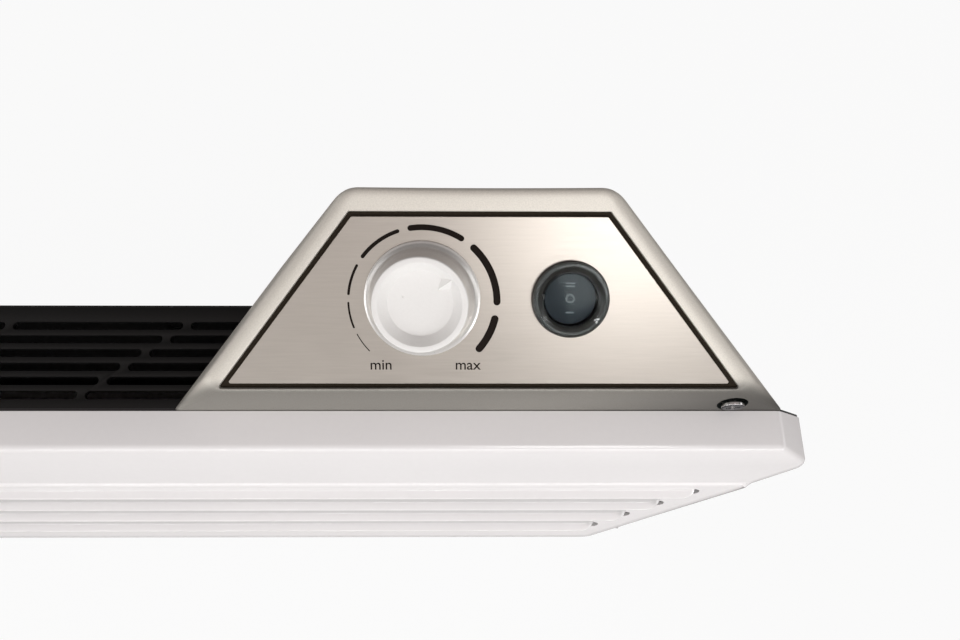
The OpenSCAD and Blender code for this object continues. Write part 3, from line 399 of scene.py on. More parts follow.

# %% Paint shade on the housing and the hoods, and clear the cap
FOOT_Y = EDGE_Y + 14.4
SKIRT_LEAN = 2.3 / 15.9
SKIRT_AT = (FOOT_Y - SKIRT_LEAN * DECK_Z) * MM
# Painted shade: the skirt's front wall and the lip above it are darkened to 0.42, fading out over 4 mm behind
# the skirt's plane.
paint_shade("champagne_silver", along((0, 1, -SKIRT_LEAN)), SKIRT_AT + 0.8 * MM, SKIRT_AT + 4.2 * MM, (0.42, 1.0))
CORNER_AT = (4 * FOOT_Y - 0.5 * MODULE_X) * MM
# Painted shade: the housing's colour darkens towards its right end, down to 0.35.
paint_shade("champagne_silver", along((-0.5, 4, 0)), CORNER_AT - 52 * MM, CORNER_AT - 4 * MM, (0.35, 1.0))
# Painted shade: the hoods' white paint is darkened to 0.66 in the fold under each lip.
paint_shade("white_paint_lip_shade", stored("lip_shade"), 0.0, 1.0, (0.66, 1.0))
for slot, bend in (("clear_cover", 1.14), ("clear_edge", 1.3)):
    shader = FINISHES[slot].node_tree.nodes["Principled BSDF"]
    shader.inputs["Transmission Weight"].default_value = 1.0
    shader.inputs["IOR"].default_value = bend
print("toned: the housing twice and the hoods once; the cap's two plastics let light through")

# %% [markdown]
# Every solid of the frame names the finish it takes in the record, so the solids are dressed in one go.
# The finer pieces made below call the same helper.

# %% Dress the frame's solids
slot_of = {part["node"]: part["material_slot"] for part in frame["record"]["subparts"]}


def dress(piece, slot):
    """Gives a new piece one finish."""
    piece.data.materials.clear()
    piece.data.materials.append(FINISHES[slot])


for name, solid in frame["nodes"].items():
    for place in solid.material_slots:
        place.material = FINISHES[slot_of[name]]
print("dressed:", len(slot_of))

# %% [markdown]
# ## The module's housing
# The housing is one moulding with a deep skirt, leaning sides and pillow-soft edges round a recess.
# It is lofted: every ring has the same number of points, so the wall runs straight from the foot to a
# sharp outline on the face plane, and a curve replaces that sharp edge by a rounding that is tight in
# front and wide at the sides and the rear.

# %% Draw the housing's outlines
TO_MODULE = MODULE.inverted() @ FACE


def on_face(ring, n):
    """Points of the face plane, n above it, in the module's frame."""
    return [TO_MODULE @ Vector((p.x, p.y, n)) for p in ring]


FACE_LEN, HALF_FOOT, HALF_TOP = 68.6, 99.5, 46.2
FACE_SLANT = (HALF_FOOT - HALF_TOP) / FACE_LEN


def face_corners(low, side, high):
    """The face's outline, kept inside its edges by three borders."""
    def half(v):
        return HALF_FOOT - v * (HALF_FOOT - HALF_TOP) / FACE_LEN
    widen = side * math.hypot(1, FACE_SLANT)
    x0, x1 = half(low) - widen, half(FACE_LEN - high) - widen
    return [(-x0, low, 0), (x0, low, 0), (x1, FACE_LEN - high, 0), (-x1, FACE_LEN - high, 0)]


foot = outline([(-109.4, 14.15, 0), (109.4, 14.15, 0), (73.5, 75.05, 0), (-73.5, 75.05, 0)], [0.8, 0.8, 8, 8])
brow_flat = outline(face_corners(0, 1.8, -1.85), [5, 5, 8.5, 8.5])
groove_flat = outline(face_corners(1.5, 7.5, 7.5), [0.7, 0.7, 0.8, 0.8])
brow, groove = on_face(brow_flat, 0), on_face(groove_flat, 0)
print("points in each outline:", len(foot), len(brow), len(groove))

# %% Round the brow and raise the housing
arcs = []
for f, q, g, before, after in zip(foot, brow, groove, brow_flat[-1:] + brow_flat[:-1],
                                  brow_flat[1:] + brow_flat[:1]):
    run = (after - before).normalized()
    blend = min(1, max(0, (-run.x + 1) / 1.61))
    blend = blend * blend * (3 - 2 * blend)
    drop, reach = 7.5 - 1.9 * blend, 1.3 + 4.1 * blend
    a = q + (f - q).normalized() * drop
    b = q + (g - q).normalized() * min(reach, (g - q).length - 0.4)
    arcs.append([a.lerp(f, 0.5)] + [(1 - t) ** 2 * a + 2 * t * (1 - t) * q + t * t * b
                                   for t in (0, 0.12, 0.25, 0.38, 0.5, 0.62, 0.75, 0.88, 1)])
rings = [foot] + [[arc[i] for arc in arcs] for i in range(10)]
lip = [g.lerp(q, 0.2 / (g - q).length) for g, q in zip(groove, brow)]
rings += [lip, on_face(groove_flat, -0.22), on_face(groove_flat, -1.7)]
housing = mesh_piece("housing", *skin(rings, cap_first=False), MODULE)
wall = housing.modifiers.new("wall", "SOLIDIFY")
wall.thickness, wall.offset, wall.use_even_offset = 2.0 * MM, -1, False
bake(housing)
tidy(housing)
print("housing faces before the holes:", len(housing.data.polygons))

# %% Cut the holes and the screw's pocket
CONTROL_HOLES = ((KNOB, 5.2), (SWITCH, 10.2))
for centre, r in CONTROL_HOLES:
    carve(housing, rod(r, -8, 4, centre))
LOCK = MODULE @ Matrix.Translation((89.3, 0, 6.3)) @ Matrix.Rotation(-math.pi / 2, 4, "X")
carve(housing, rod(6.65, 17.0, 21.4, LOCK), "UNION")
carve(housing, rod(5.35, 5, 20.1, LOCK))
carve(housing, rod(2.2, 5, 30, LOCK))
dress(housing, "champagne_silver")
# Painted shade: the faces inside the pocket's mouth take a dark finish that stands in for the shade there.
housing.data.materials.append(FINISHES["pocket_painted_shade"])
axis, mouth = LOCK.translation, 5.45 * MM
for face in housing.data.polygons:
    spots = [housing.data.vertices[i].co for i in face.vertices]
    if all(math.hypot(p.x - axis.x, p.z - axis.z) < mouth for p in spots):
        face.material_index = 1
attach(housing, "root")
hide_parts("module_shell")
print("housing faces:", len(housing.data.polygons))

# %% [markdown]
# ## The face plate and its scale
# The plate is a thin sheet of satin metal that lies in the recess and leaves a dark line round it. The
# scale is printed: seven strokes that grow from min to max, and the two words. They are meshes a few
# hundredths of a millimetre above the plate.

# %% Cut the face plate
edge = outline(face_corners(3.2, 9.2, 9.2), [0.6, 0.6, 0.8, 0.8])
inner = outline(face_corners(3.32, 9.32, 9.32), [0.6, 0.6, 0.8, 0.8])
levels = ((edge, -1.1), (edge, -0.22), (inner, -0.1))
plate_rings = [[Vector((p.x, p.y, n)) for p in ring] for ring, n in levels]
plate = mesh_piece("face_plate_satin", *skin(plate_rings), FACE, 20)
for centre, r in CONTROL_HOLES:
    carve(plate, rod(r, -3, 3, centre), smooth=20)
dress(plate, "face_metal")
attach(plate, "root")
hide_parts("face_plate")
print("plate faces:", len(plate.data.polygons))


# %% Print the strokes of the scale
def stroke(start, end, width, r=24.6, steps=24):
    """Points and faces of a round-ended stroke along an arc, from one angle to another in degrees."""
    a0, a1, w = math.radians(start), math.radians(end), width / 2
    rim = []
    for k in range(steps + 1):
        a = a0 + (a1 - a0) * k / steps
        rim.append(((r + w) * math.cos(a), (r + w) * math.sin(a)))
    for k in range(1, 8):
        t = math.pi * k / 8
        rim.append((r * math.cos(a1) + w * math.cos(a1 - t), r * math.sin(a1) + w * math.sin(a1 - t)))
    for k in range(steps + 1):
        a = a1 + (a0 - a1) * k / steps
        rim.append(((r - w) * math.cos(a), (r - w) * math.sin(a)))
    for k in range(1, 8):
        t = math.pi + math.pi * k / 8
        rim.append((r * math.cos(a0) + w * math.cos(a0 - t), r * math.sin(a0) + w * math.sin(a0 - t)))
    return skin([[Vector((x, y, z)) for x, y in rim] for z in (-0.15, -0.07)])


STROKES = [(222.8, 206.6, 0.33), (200.6, 180.8, 0.65), (173.8, 150.6, 0.85), (142.2, 108.7, 1.25),
           (98.7, 58.5, 1.9), (46.7, 0.0, 2.35), (-13.5, -40.3, 2.5)]
SCALE = KNOB @ Matrix.Translation((0.1, -1.1, 0))
prints = []
for i, (start, end, width) in enumerate(STROKES):
    prints.append(mesh_piece(f"scale_stroke_{i + 1}", *stroke(start, end, width), SCALE))
print("strokes:", len(prints))


# %% Print the two words
def lettering(word, size, u, v, place):
    """A word as a thin mesh, its left end at u and its foot at v."""
    curve = bpy.data.curves.new(word, "FONT")
    curve.body, curve.size, curve.extrude, curve.offset = word, size, 0.04, 0.03
    text = bpy.data.objects.new(word, curve)
    bpy.context.scene.collection.objects.link(text)
    mesh = bpy.data.meshes.new_from_object(text.evaluated_get(bpy.context.evaluated_depsgraph_get()))
    mesh.transform(place @ Matrix.Translation((u, v, -0.11)))
    bpy.data.objects.remove(text)
    word_piece = bpy.data.objects.new("scale_" + word, mesh)
    bpy.context.scene.collection.objects.link(word_piece)
    return word_piece


prints += [lettering("min", 5.1, -37.0, 8.2, FACE), lettering("max", 5.1, -8.3, 8.2, FACE)]
for piece in prints:
    dress(piece, "print_black")
    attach(piece, "root")
print("printed pieces:", len(prints))

# %% [markdown]
# ## The knob
# A satin silver cone that flares to a thin flange at its foot carries a white cap. The cap has a
# rounded rim, a dish that slopes down to a flat disc, and a small wedge as its pointer. Both are turned
# on the lathe helper, because they are round, and the wedge is then joined on.

# %% Turn the knob
skirt = turned("knob_cone", [(14.0, 0.6), (19.2, 0.6), (19.2, 1.15), (18.5, 1.5), (17.3, 2.6), (16.5, 4.6),
                             (15.95, 7.6), (15.5, 11.4), (13.65, 11.4), (14.0, 4.4)],
               [0, 0.15, 0.2, 0.9, 2.2, 3, 3, 0.3, 0, 0], KNOB)
cap = turned("knob_dish", [(3.06, 4.0), (5.6, 4.0), (5.6, 6.8), (11.9, 6.8), (11.9, 4.8), (13.5, 4.8),
                           (13.5, 11.4), (15.45, 11.4), (15.3, 12.6), (13.4, 12.6), (10.6, 9.0), (0, 8.8),
                           (0, 6.8), (3.06, 6.8)],
             [0, 0, 0, 0, 0, 0, 0, 0.15, 0.5, 0.5, 0.5, 0, 0, 0], KNOB)
print("cap points:", len(cap.data.vertices))

# %% Join the pointer and finish the knob
POINTER = KNOB @ Matrix.Rotation(math.radians(38), 4, "Z")
wedge = [(6.6, 0, 8.7), (13.8, 0, 12.5), (10.2, 2.4, 8.7), (10.2, -2.5, 8.7), (13.0, 0, 8.2)]
sides = [(0, 1, 2), (0, 3, 1), (0, 2, 4), (0, 4, 3), (1, 4, 2), (1, 3, 4)]
carve(cap, mesh_piece("tool", wedge, sides, POINTER, 10), "UNION", 32)
carve(cap, rod(0.35, 8.6, 9.4, KNOB @ Matrix.Translation((-5.6, 2.3, 0)), 24), smooth=32)
for piece, slot, node in ((skirt, "knob_silver", "knob_skirt"), (cap, "knob_white", "knob_cap")):
    dress(piece, slot)
    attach(piece, "knob")
    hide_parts(node)
print("knob faces:", len(skirt.data.polygons) + len(cap.data.polygons))

# %% [markdown]
# ## The switch
# A round rocker sits deep in a black ring under a clear cap that keeps dust out. The cap is a stepped
# dome of clear plastic, so it is a closed shell with its own wall, and light bends at both its faces.
# Its shoulder gets a glossier plastic than its top, because that is where the lamps glint.

# %% Turn the switch's ring and its clear cap
ring = turned("switch_ring", [(9.5, -0.1), (12.9, -0.1), (12.9, 1.2), (12.1, 2.4), (10.8, 2.4), (9.5, 0.9)],
              [0, 0.2, 0.3, 0.4, 0.4, 0.2], SWITCH)
cover = turned("switch_cap", [(0, 4.5), (0, 3.7), (9.0, 3.2), (10.6, 2.45), (12.2, 2.45), (12.6, 2.8),
                              (12.5, 3.4), (11.2, 3.5), (9.7, 4.1)],
               [0, 0, 0.8, 0.5, 0.2, 0.3, 0.4, 0.6, 0.9], SWITCH, steps=5)
rocker = turned("switch_button", [(0, -0.4), (0, -2.6), (8.6, -2.6), (8.75, -0.4)], [0, 0, 0, 0.5], SWITCH)
for piece, slot, node, body in ((ring, "ring_grey", "switch_bezel", "root"),
                                (cover, "clear_cover", "switch_cover", "root"),
                                (rocker, "switch_black", "switch_rocker", "rocker")):
    dress(piece, slot)
    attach(piece, body)
    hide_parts(node)
cover.data.materials.append(FINISHES["clear_edge"])
for face in cover.data.polygons:
    spot = SWITCH.inverted() @ face.center
    if math.hypot(spot.x, spot.y) > 9.2 and spot.z > 2.6:
        face.material_index = 1
print("glossy faces of the cap:", sum(face.material_index for face in cover.data.polygons))


# %% Print the marks on the rocker
def bar(u, v, half_u, half_v):
    """A small printed bar on the rocker."""
    corners = [(u + x * half_u, v + y * half_v) for x, y in ((-1, -1), (1, -1), (1, 1), (-1, 1))]
    return skin([[Vector((x, y, z)) for x, y in corners] for z in (-0.42, -0.36)])


marks = [mesh_piece("mark_two_upper", *bar(0, 5.2, 1.5, 0.22), SWITCH),
         mesh_piece("mark_two_lower", *bar(0, 4.2, 1.5, 0.22), SWITCH),
         mesh_piece("mark_one", *bar(0, -4.7, 1.4, 0.25), SWITCH),
         turned("mark_off", [(1.1, -0.42), (1.5, -0.42), (1.5, -0.36), (1.1, -0.36)], 0, SWITCH, sides=40)]
for piece in marks:
    dress(piece, "print_white")
    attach(piece, "rocker")
print("marks:", len(marks))

# %% [markdown]
# ## The lock screw
# A bright screw with a thin head stands in the mouth of the round pocket at the right of the skirt. Its head
# is turned, and the cross is cut with two flat tools. The rim of the head is polished and catches the light
# as a thin bar, and its face gets a dark finish as painted shade.

# %% Turn the lock screw
HEAD = LOCK @ Matrix.Translation((0, 0, 13.8))
head = turned("lock_screw_head", [(0, 0), (0, 12), (2.0, 12), (2.0, 1.3), (4.0, 1.3), (4.0, 0.3), (3.7, 0.0)],
              [0, 0, 0, 0, 0.1, 0.2, 0.1], HEAD, sides=64)
blade = ((-2.4, -0.55), (2.4, -0.55), (2.4, 0.55), (-2.4, 0.55))
for turn in (72, 162):
    block = [[Vector((x, y, z)) for x, y in blade] for z in (-1, 1.3)]
    carve(head, mesh_piece("tool", *skin(block), HEAD @ Matrix.Rotation(math.radians(turn), 4, "Z")))
dress(head, "zinc_bright")
# Painted shade: the head's face, which lies in shade, takes dark zinc.
head.data.materials.append(FINISHES["black_zinc"])
for face in head.data.polygons:
    if face.center.y < (HEAD @ Vector((0, 0, 0.15))).y:
        face.material_index = 1
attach(head, "root")
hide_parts("lock_screw")
print("screw faces:", len(head.data.polygons))

# %% [markdown]
# ## The front panel
# The front is one pressed sheet: a turned-back rim with cut corners, a smooth band, a slightly raised
# field with the louvres, a ridge, and a tall lower facet. The outer surface is drawn as a few flat
# polygons, the Bevel modifier rounds its folds by their own weights, and Solidify gives the sheet its
# thickness.

# %% Fold the front panel
HALF_W, RIDGE_X, RIDGE_S = 320, 246.6, FACET_LEN - 0.5
SHOULDER_S = FACET_LEN * 11 / 74
HIP = (HALF_W - RIDGE_X) / (FACET_LEN - SHOULDER_S)


def hip_x(s):
    """Half the width of the upper facet at a distance s down the slant."""
    return HALF_W - (s - SHOULDER_S) * HIP


def on_facet(x, s, n):
    """A point of the upper facet in mm: sideways, down the slant, and outwards."""
    return (FACET @ Vector((x, -s, n))) / MM


STEP_S, FIELD_S = 25.9, 27.0
CUT_X = HALF_W - 12
right = [Vector((CUT_X, EDGE_Y, HEATER_H)), on_facet(HALF_W, SHOULDER_S, 0),
         on_facet(hip_x(STEP_S), STEP_S, 0), on_facet(hip_x(FIELD_S), FIELD_S, 1),
         on_facet(hip_x(RIDGE_S), RIDGE_S, 1),
         Vector((HALF_W, EDGE_Y + 5 - 28.7 * 11 / 326, 11)), Vector((CUT_X, EDGE_Y + 5, 0))]
right += [Vector((p.x, EDGE_Y + RIM_D, p.z)) for p in (right[0], right[1], right[5], right[6])]
left = [Vector((-p.x, p.y, p.z)) for p in right]
L = len(right)
print("corners of the sheet:", 2 * L)


# %% Join the corners into facets
def mirrored(*face):
    """A face of the left half, from the same face of the right half."""
    return tuple(i + L for i in reversed(face))


half_faces = [(1, 5, 2), (2, 5, 3), (3, 5, 4), (0, 1, 8, 7), (1, 5, 9, 8), (5, 6, 10, 9)]
faces = half_faces + [mirrored(*f) for f in half_faces]
faces += [(0, L, L + 1, L + 2, 2, 1), (2, L + 2, L + 3, 3), (3, L + 3, L + 4, 4),
          (4, L + 4, L + 5, L + 6, 6, 5), (0, 7, L + 7, L), (6, L + 6, L + 10, 10)]
panel = mesh_piece("front_sheet", right + left, faces)
folds = panel.data.attributes.new("bevel_weight_edge", "FLOAT", "EDGE")
for line in panel.data.edges:
    a, b = [panel.data.vertices[i].co / MM for i in line.vertices]
    on_rear = max(a.y, b.y) > EDGE_Y + RIM_D - 0.1
    if on_rear:
        folds.data[line.index].value = 0.0 if min(a.y, b.y) > EDGE_Y + RIM_D - 0.1 else 0.6
    elif abs(a.z - b.z) < 0.5 and 370 < a.z < 379:
        folds.data[line.index].value = 0.2
    elif 320 < min(a.z, b.z) and max(a.z, b.z) < 376 and abs(a.x) < 310:
        folds.data[line.index].value = 1.0
    else:
        folds.data[line.index].value = 0.72
print("panel folds:", sum(1 for v in folds.data if v.value > 0))

# %% Round the folds and give the sheet its thickness
bend = panel.modifiers.new("bend", "BEVEL")
bend.limit_method, bend.width, bend.segments, bend.use_clamp_overlap = "WEIGHT", 3 * MM, 5, False
sheet = panel.modifiers.new("sheet", "SOLIDIFY")
sheet.thickness, sheet.offset = SHEET * MM, -1
bake(panel)
tidy(panel, 25)
print("panel faces:", len(panel.data.polygons))

# %% [markdown]
# ## Louvres
# Four hoods stand over four slots, and each lower one is shorter, because the field narrows to the
# ridge. One Geometry Nodes tree makes both the hoods and the cutting tools for the slots: it repeats
# a first piece down the slant and draws in its two ends a little more with every copy.

# %% Copies in rows
def copies_in_rows(nodes, link, given):
    """Copies of the given piece on a line of points. Each keeps its row's number as an attribute."""
    line = nodes.new("GeometryNodeMeshLine")
    link(given.outputs["Count"], line.inputs["Count"])
    link(given.outputs["Step"], line.inputs["Offset"])
    order = nodes.new("GeometryNodeInputIndex")
    store = nodes.new("GeometryNodeStoreNamedAttribute")
    store.data_type, store.domain = "FLOAT", "POINT"
    store.inputs["Name"].default_value = "row"
    link(line.outputs["Mesh"], store.inputs["Geometry"])
    link(order.outputs["Index"], store.inputs["Value"])
    place = nodes.new("GeometryNodeInstanceOnPoints")
    link(store.outputs["Geometry"], place.inputs["Points"])
    link(given.outputs["Geometry"], place.inputs["Instance"])
    real = nodes.new("GeometryNodeRealizeInstances")
    link(place.outputs["Instances"], real.inputs["Geometry"])
    return real.outputs["Geometry"]


print("rows: one point for each copy, an instance on each, then real geometry")


# %% Ends drawn in, a little more with every row
def drawn_in(nodes, link, given, geometry):
    """Moves every point towards the middle by its row's number times the input Draw In."""
    row = nodes.new("GeometryNodeInputNamedAttribute")
    row.data_type = "FLOAT"
    row.inputs["Name"].default_value = "row"
    where, split = nodes.new("GeometryNodeInputPosition"), nodes.new("ShaderNodeSeparateXYZ")
    link(where.outputs["Position"], split.inputs["Vector"])
    side, amount, signed = [nodes.new("ShaderNodeMath") for _ in range(3)]
    side.operation = "SIGN"
    link(split.outputs["X"], side.inputs[0])
    amount.operation = signed.operation = "MULTIPLY"
    link(row.outputs["Attribute"], amount.inputs[0])
    link(given.outputs["Draw In"], amount.inputs[1])
    link(amount.outputs["Value"], signed.inputs[0])
    link(side.outputs["Value"], signed.inputs[1])
    shift, turn = nodes.new("ShaderNodeCombineXYZ"), nodes.new("ShaderNodeVectorMath")
    link(signed.outputs["Value"], shift.inputs["X"])
    turn.operation = "SCALE"
    turn.inputs["Scale"].default_value = -1
    link(shift.outputs["Vector"], turn.inputs[0])
    span, outer = nodes.new("ShaderNodeMath"), nodes.new("ShaderNodeMath")
    span.operation, outer.operation = "ABSOLUTE", "GREATER_THAN"
    link(split.outputs["X"], span.inputs[0])
    outer.inputs[1].default_value = 0.05
    link(span.outputs["Value"], outer.inputs[0])
    move = nodes.new("GeometryNodeSetPosition")
    link(geometry, move.inputs["Geometry"])
    link(outer.outputs["Value"], move.inputs["Selection"])
    link(turn.outputs["Vector"], move.inputs["Offset"])
    return move.outputs["Geometry"]


print("points nearer to the middle than 50 mm stay where they are")


# %% The tree that repeats a piece down the field
def repeat_tree():
    """Repeats the modified mesh along a line, and draws its two ends in by the same step each time."""
    tree = bpy.data.node_groups.new("repeat_down_the_field", "GeometryNodeTree")
    face = tree.interface
    face.new_socket("Geometry", in_out="INPUT", socket_type="NodeSocketGeometry")
    for label, kind in (("Count", "NodeSocketInt"), ("Step", "NodeSocketVector"),
                        ("Draw In", "NodeSocketFloat"), ("Finish", "NodeSocketMaterial")):
        face.new_socket(label, in_out="INPUT", socket_type=kind)
    face.new_socket("Geometry", in_out="OUTPUT", socket_type="NodeSocketGeometry")
    nodes, link = tree.nodes, tree.links.new
    given, result = nodes.new("NodeGroupInput"), nodes.new("NodeGroupOutput")
    geometry = drawn_in(nodes, link, given, copies_in_rows(nodes, link, given))
    coat = nodes.new("GeometryNodeSetMaterial")
    link(geometry, coat.inputs["Geometry"])
    link(given.outputs["Finish"], coat.inputs["Material"])
    link(coat.outputs["Geometry"], result.inputs["Geometry"])
    return tree


REPEAT = repeat_tree()
print("tree nodes:", len(REPEAT.nodes))


# %% Run the tree on a piece
def repeated(piece, count, step, draw_in, slot):
    """Runs the tree on a piece and makes the result a plain mesh."""
    modifier = piece.modifiers.new("repeat", "NODES")
    modifier.node_group = REPEAT
    sockets = {s.name: s.identifier for s in REPEAT.interface.items_tree if s.in_out == "INPUT"}
    modifier[sockets["Count"]] = count
    modifier[sockets["Step"]] = list(step)
    modifier[sockets["Draw In"]] = draw_in
    modifier[sockets["Finish"]] = FINISHES[slot]
    bake(piece)


print("inputs:", [s.name for s in REPEAT.interface.items_tree if s.in_out == "INPUT"])

# %% Press the hoods
FIRST_S, PITCH, COUNT = 32.6, 10.5, 4
SLOT_REACH = hip_x(FIRST_S) - 11.5
DOWN = (FACET.to_3x3() @ Vector((0, -PITCH, 0)))
ALONG = [0, 0.25, 0.5, 0.7, 0.84, 0.93, 0.985, 1]
LIP = [(2.7, 1.3, 0), (0.5, 3.6, 0), (-0.3, 3.6, 0), (-0.6, 3.0, 0), (-0.45, 2.6, 0), (1.2, 1.2, 0)]


def hood(name, first_s, reach, foot, count):
    """Hoods down the field from first_s on, each with a skirt that reaches up the field by foot."""
    section = eased([(foot, 1.03, 0)] + LIP + [(foot, 0.6, 0)], [0, 1.2, 0.7, 0.3, 0.2, 0.2, 0.4, 0], steps=4)
    rings = []
    for side in (-1, 1):
        for t in ALONG[::side]:
            rise = math.sqrt(max(0, 1 - t * t))
            x, draw = side * (reach - 5 * (1 - t)), 0.35 + 0.65 * rise
            rings.append([Vector((x, -(first_s - (foot + (p.x - foot) * draw)), 0.7 + (p.y - 0.7) * rise))
                          for p in section])
    piece = mesh_piece(name, *skin(rings), FACET, 35)
    # The attribute marks painted shade under the lip above: 0 where it is darkest, 1 where there is none. The
    # top hood has none.
    lip_shade = piece.data.attributes.new("lip_shade", "FLOAT", "POINT")
    for point in piece.data.vertices:
        up = first_s + (FACET.inverted() @ point.co).y
        lip_shade.data[point.index].value = min(1, max(0, (3.6 - up) / 1.8)) if foot > 5 else 1.0
    repeated(piece, count, DOWN, PITCH * HIP * MM, "white_paint_lip_shade")
    tidy(piece, 35)
    return piece


HOOD_REACH = SLOT_REACH - 2.2
hoods = [hood("louvre_hood_top", FIRST_S, HOOD_REACH, 4.2, 1),
         hood("louvre_hoods_low", FIRST_S + PITCH, HOOD_REACH - PITCH * HIP, 9.3, COUNT - 1)]
print("hood faces:", sum(len(h.data.polygons) for h in hoods))

# %% Cut the slots under the hoods
SLOT_R, WEB = 1.9, 4
for side in (-1, 1):
    low, high = (WEB, SLOT_REACH) if side > 0 else (-SLOT_REACH, -WEB)
    stadium = []
    for centre, quarter in ((high - SLOT_R, -0.5), (low + SLOT_R, 0.5)):
        for k in range(11):
            a = math.pi * (k / 10 + quarter)
            stadium.append((centre + SLOT_R * math.cos(a), SLOT_R * math.sin(a) - FIRST_S + 0.9))
    tool = mesh_piece("tool", *skin([[Vector((x, y, n)) for x, y in stadium] for n in (-4, 5)]), FACET)
    repeated(tool, COUNT, DOWN, PITCH * HIP * MM, "white_paint")
    carve(panel, tool, smooth=25)
dress(panel, "white_paint")
for piece in [panel] + hoods:
    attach(piece, "root")
    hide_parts("front_panel")
print("panel faces:", len(panel.data.polygons))

# %% [markdown]
# ## The grilles
# The two grilles are mouldings, and their slots have softened edges that catch a thin line of light. A
# fresh copy of each one's shape is cleaned of the triangles in its flat faces, and the Bevel modifier
# then rounds every edge that is left.

# %% Soften the edges of the grilles
def softened(node, width):
    """A copy of a solid's shape with rounded edges."""
    solid = frame["nodes"][node]
    copy = bpy.data.objects.new(node + "_soft", solid.data.copy())
    copy.data.transform(solid.matrix_world)
    bpy.context.scene.collection.objects.link(copy)
    sheet = bmesh.new()
    sheet.from_mesh(copy.data)
    bmesh.ops.remove_doubles(sheet, verts=sheet.verts, dist=1e-6)
    bmesh.ops.dissolve_limit(sheet, angle_limit=math.radians(2), verts=sheet.verts, edges=sheet.edges)
    sheet.to_mesh(copy.data)
    sheet.free()
    bend = copy.modifiers.new("bend", "BEVEL")
    bend.limit_method, bend.angle_limit, bend.width, bend.segments = "ANGLE", math.radians(50), width * MM, 2
    bake(copy)
    tidy(copy)
    return copy


grilles = {node: softened(node, 0.35) for node in ("outlet_grille", "intake_grille")}
for node, piece in grilles.items():
    dress(piece, slot_of[node])
    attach(piece, "root")
    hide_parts(node)
print("grille faces:", [len(piece.data.polygons) for piece in grilles.values()])

# %% [markdown]
# ## Camera, floor and light
# The camera's place, turn and lens were found by fitting known corners of the module and the panel to
# the picture. The floor shows as white to the camera and still takes a soft shadow. The sky is a soft
# grey band, dimmer overhead and behind, and shows as white to the camera. Five lamps stand round the
# front: a broad one at the right gives the face plate its slow change from dark to light.

# %% Set the camera
pitch, yaw, roll = math.radians(69.614), math.radians(1.562), math.radians(1.528)
ahead = Vector((math.sin(yaw) * math.cos(pitch), math.cos(yaw) * math.cos(pitch), -math.sin(pitch)))
level = Vector((math.cos(yaw), -math.sin(yaw), 0))
upright = level.cross(ahead)
across = math.cos(roll) * level + math.sin(roll) * upright
above = -math.sin(roll) * level + math.cos(roll) * upright
lens = bpy.data.cameras.new("camera")
lens.sensor_width, lens.lens, lens.clip_start = 36, 27.357, 0.01
camera = bpy.data.objects.new("camera", lens)
camera.matrix_world = Matrix.Translation((0.197785, -0.073171, 0.656216)) @ Matrix(
    (across, above, -ahead)).transposed().to_4x4()
bpy.context.scene.collection.objects.link(camera)
bpy.context.scene.camera = camera
print("camera at", [round(c, 3) for c in camera.matrix_world.translation])

# %% Lay the floor
FAR = 6000
floor = mesh_piece("floor", [(-FAR, -FAR, 0), (FAR, -FAR, 0), (FAR, FAR, 0), (-FAR, FAR, 0)], [(0, 1, 2, 3)])
pale = bpy.data.materials.new("floor_white")
pale.use_nodes = True
nodes, link = pale.node_tree.nodes, pale.node_tree.links.new
nodes["Principled BSDF"].inputs["Base Color"].default_value = (0.55, 0.55, 0.55, 1)
nodes["Principled BSDF"].inputs["Roughness"].default_value = 0.9
path, glow = nodes.new("ShaderNodeLightPath"), nodes.new("ShaderNodeEmission")
share, mix = nodes.new("ShaderNodeMath"), nodes.new("ShaderNodeMixShader")
share.operation = "MULTIPLY"
share.inputs[1].default_value = 0.93
link(path.outputs["Is Camera Ray"], share.inputs[0])
link(share.outputs["Value"], mix.inputs["Fac"])
link(nodes["Principled BSDF"].outputs["BSDF"], mix.inputs[1])
link(glow.outputs["Emission"], mix.inputs[2])
link(mix.outputs["Shader"], nodes["Material Output"].inputs["Surface"])
floor.data.materials.append(pale)
print("floor laid")

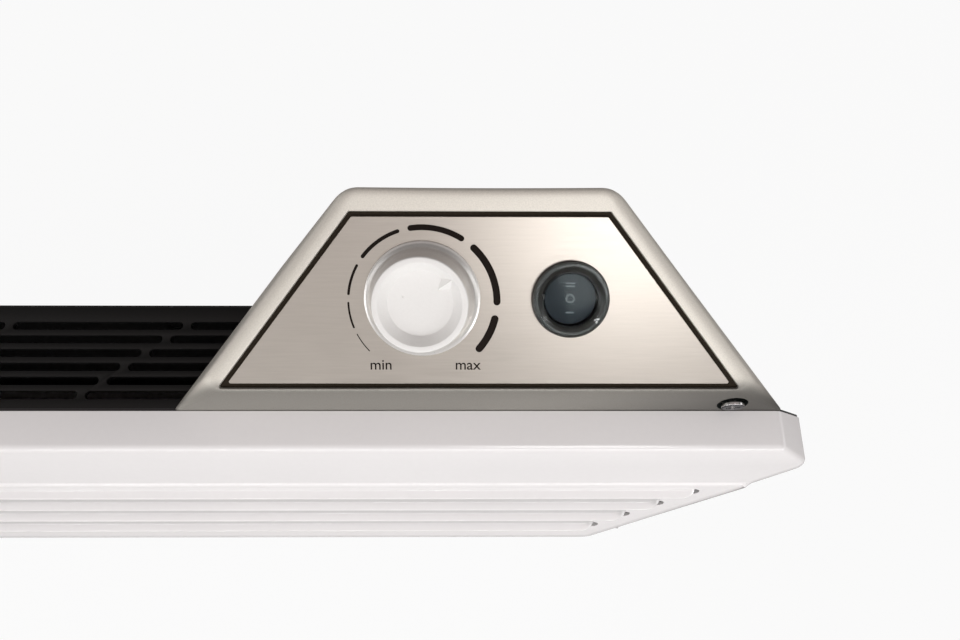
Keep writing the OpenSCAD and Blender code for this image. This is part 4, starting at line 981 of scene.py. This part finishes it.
# %% Hang the sky
world = bpy.data.worlds.new("soft_sky")
bpy.context.scene.world = world
world.use_nodes = True
nodes, link = world.node_tree.nodes, world.node_tree.links.new
view, split = nodes.new("ShaderNodeTexCoord"), nodes.new("ShaderNodeSeparateXYZ")
ramp = nodes.new("ShaderNodeValToRGB")
link(view.outputs["Generated"], split.inputs["Vector"])
link(split.outputs["Z"], ramp.inputs["Fac"])
stops = ramp.color_ramp.elements
for stop, place, tone in ((stops[0], 0.0, (0.10, 0.10, 0.10)), (stops[1], 1.0, (0.5, 0.42, 0.41)),
                          (None, 0.25, (2.35, 2.3, 2.28)), (None, 0.5, (0.05, 0.05, 0.05)),
                          (None, 0.75, (0.55, 0.51, 0.49))):
    stop = stop or stops.new(place)
    stop.position, stop.color = place, tone + (1,)
link(ramp.outputs["Color"], nodes["Background"].inputs["Color"])
wall = nodes.new("ShaderNodeMapRange")
for label, value in (("From Min", -0.2), ("From Max", 0.7), ("To Min", 1.0), ("To Max", 0.2)):
    wall.inputs[label].default_value = value
link(split.outputs["Y"], wall.inputs["Value"])
link(wall.outputs["Result"], nodes["Background"].inputs["Strength"])
print("stops in the sky:", len(stops))

# %% Show the sky as white to the camera
white, path = nodes.new("ShaderNodeBackground"), nodes.new("ShaderNodeLightPath")
mix = nodes.new("ShaderNodeMixShader")
white.inputs["Color"].default_value = (0.95, 0.95, 0.95, 1)
link(path.outputs["Is Camera Ray"], mix.inputs["Fac"])
link(nodes["Background"].outputs["Background"], mix.inputs[1])
link(white.outputs["Background"], mix.inputs[2])
link(mix.outputs["Shader"], nodes["World Output"].inputs["Surface"])
print("backdrop:", [round(c, 2) for c in white.inputs["Color"].default_value])


# %% Set the lamps
def lamp(name, place, aim, wide, high, power):
    """A broad area lamp that looks at a point."""
    light = bpy.data.lights.new(name, "AREA")
    light.shape, light.size, light.size_y, light.energy = "RECTANGLE", wide, high, power
    holder = bpy.data.objects.new(name, light)
    bpy.context.scene.collection.objects.link(holder)
    turn = (Vector(place) - Vector(aim)).to_track_quat("Z", "Y").to_matrix().to_4x4()
    holder.matrix_world = Matrix.Translation(place) @ turn
    return holder


lamp("front_right", (0.50, -0.60, 1.38), (0.24, 0.03, 0.43), 0.42, 0.42, 2.37)
lamp("front_strip", (0.10, -1.38, 0.93), (0.10, 0.0, 0.40), 1.8, 0.14, 4.5)
lamp("front_soft", (-0.25, -0.75, 1.30), (0.2, 0.0, 0.43), 0.6, 0.6, 0.45)
lamp("front_left", (-1.10, -0.80, 0.80), (0.2, 0.0, 0.43), 0.6, 0.6, 1.1)
lamp("low_right", (1.05, -0.95, 0.62), (0.23, 0.02, 0.43), 0.15, 0.15, 1.4)

# %% [markdown]
# ## Closing

# %% Set the view transform
bpy.context.scene.view_settings.view_transform = "Standard"
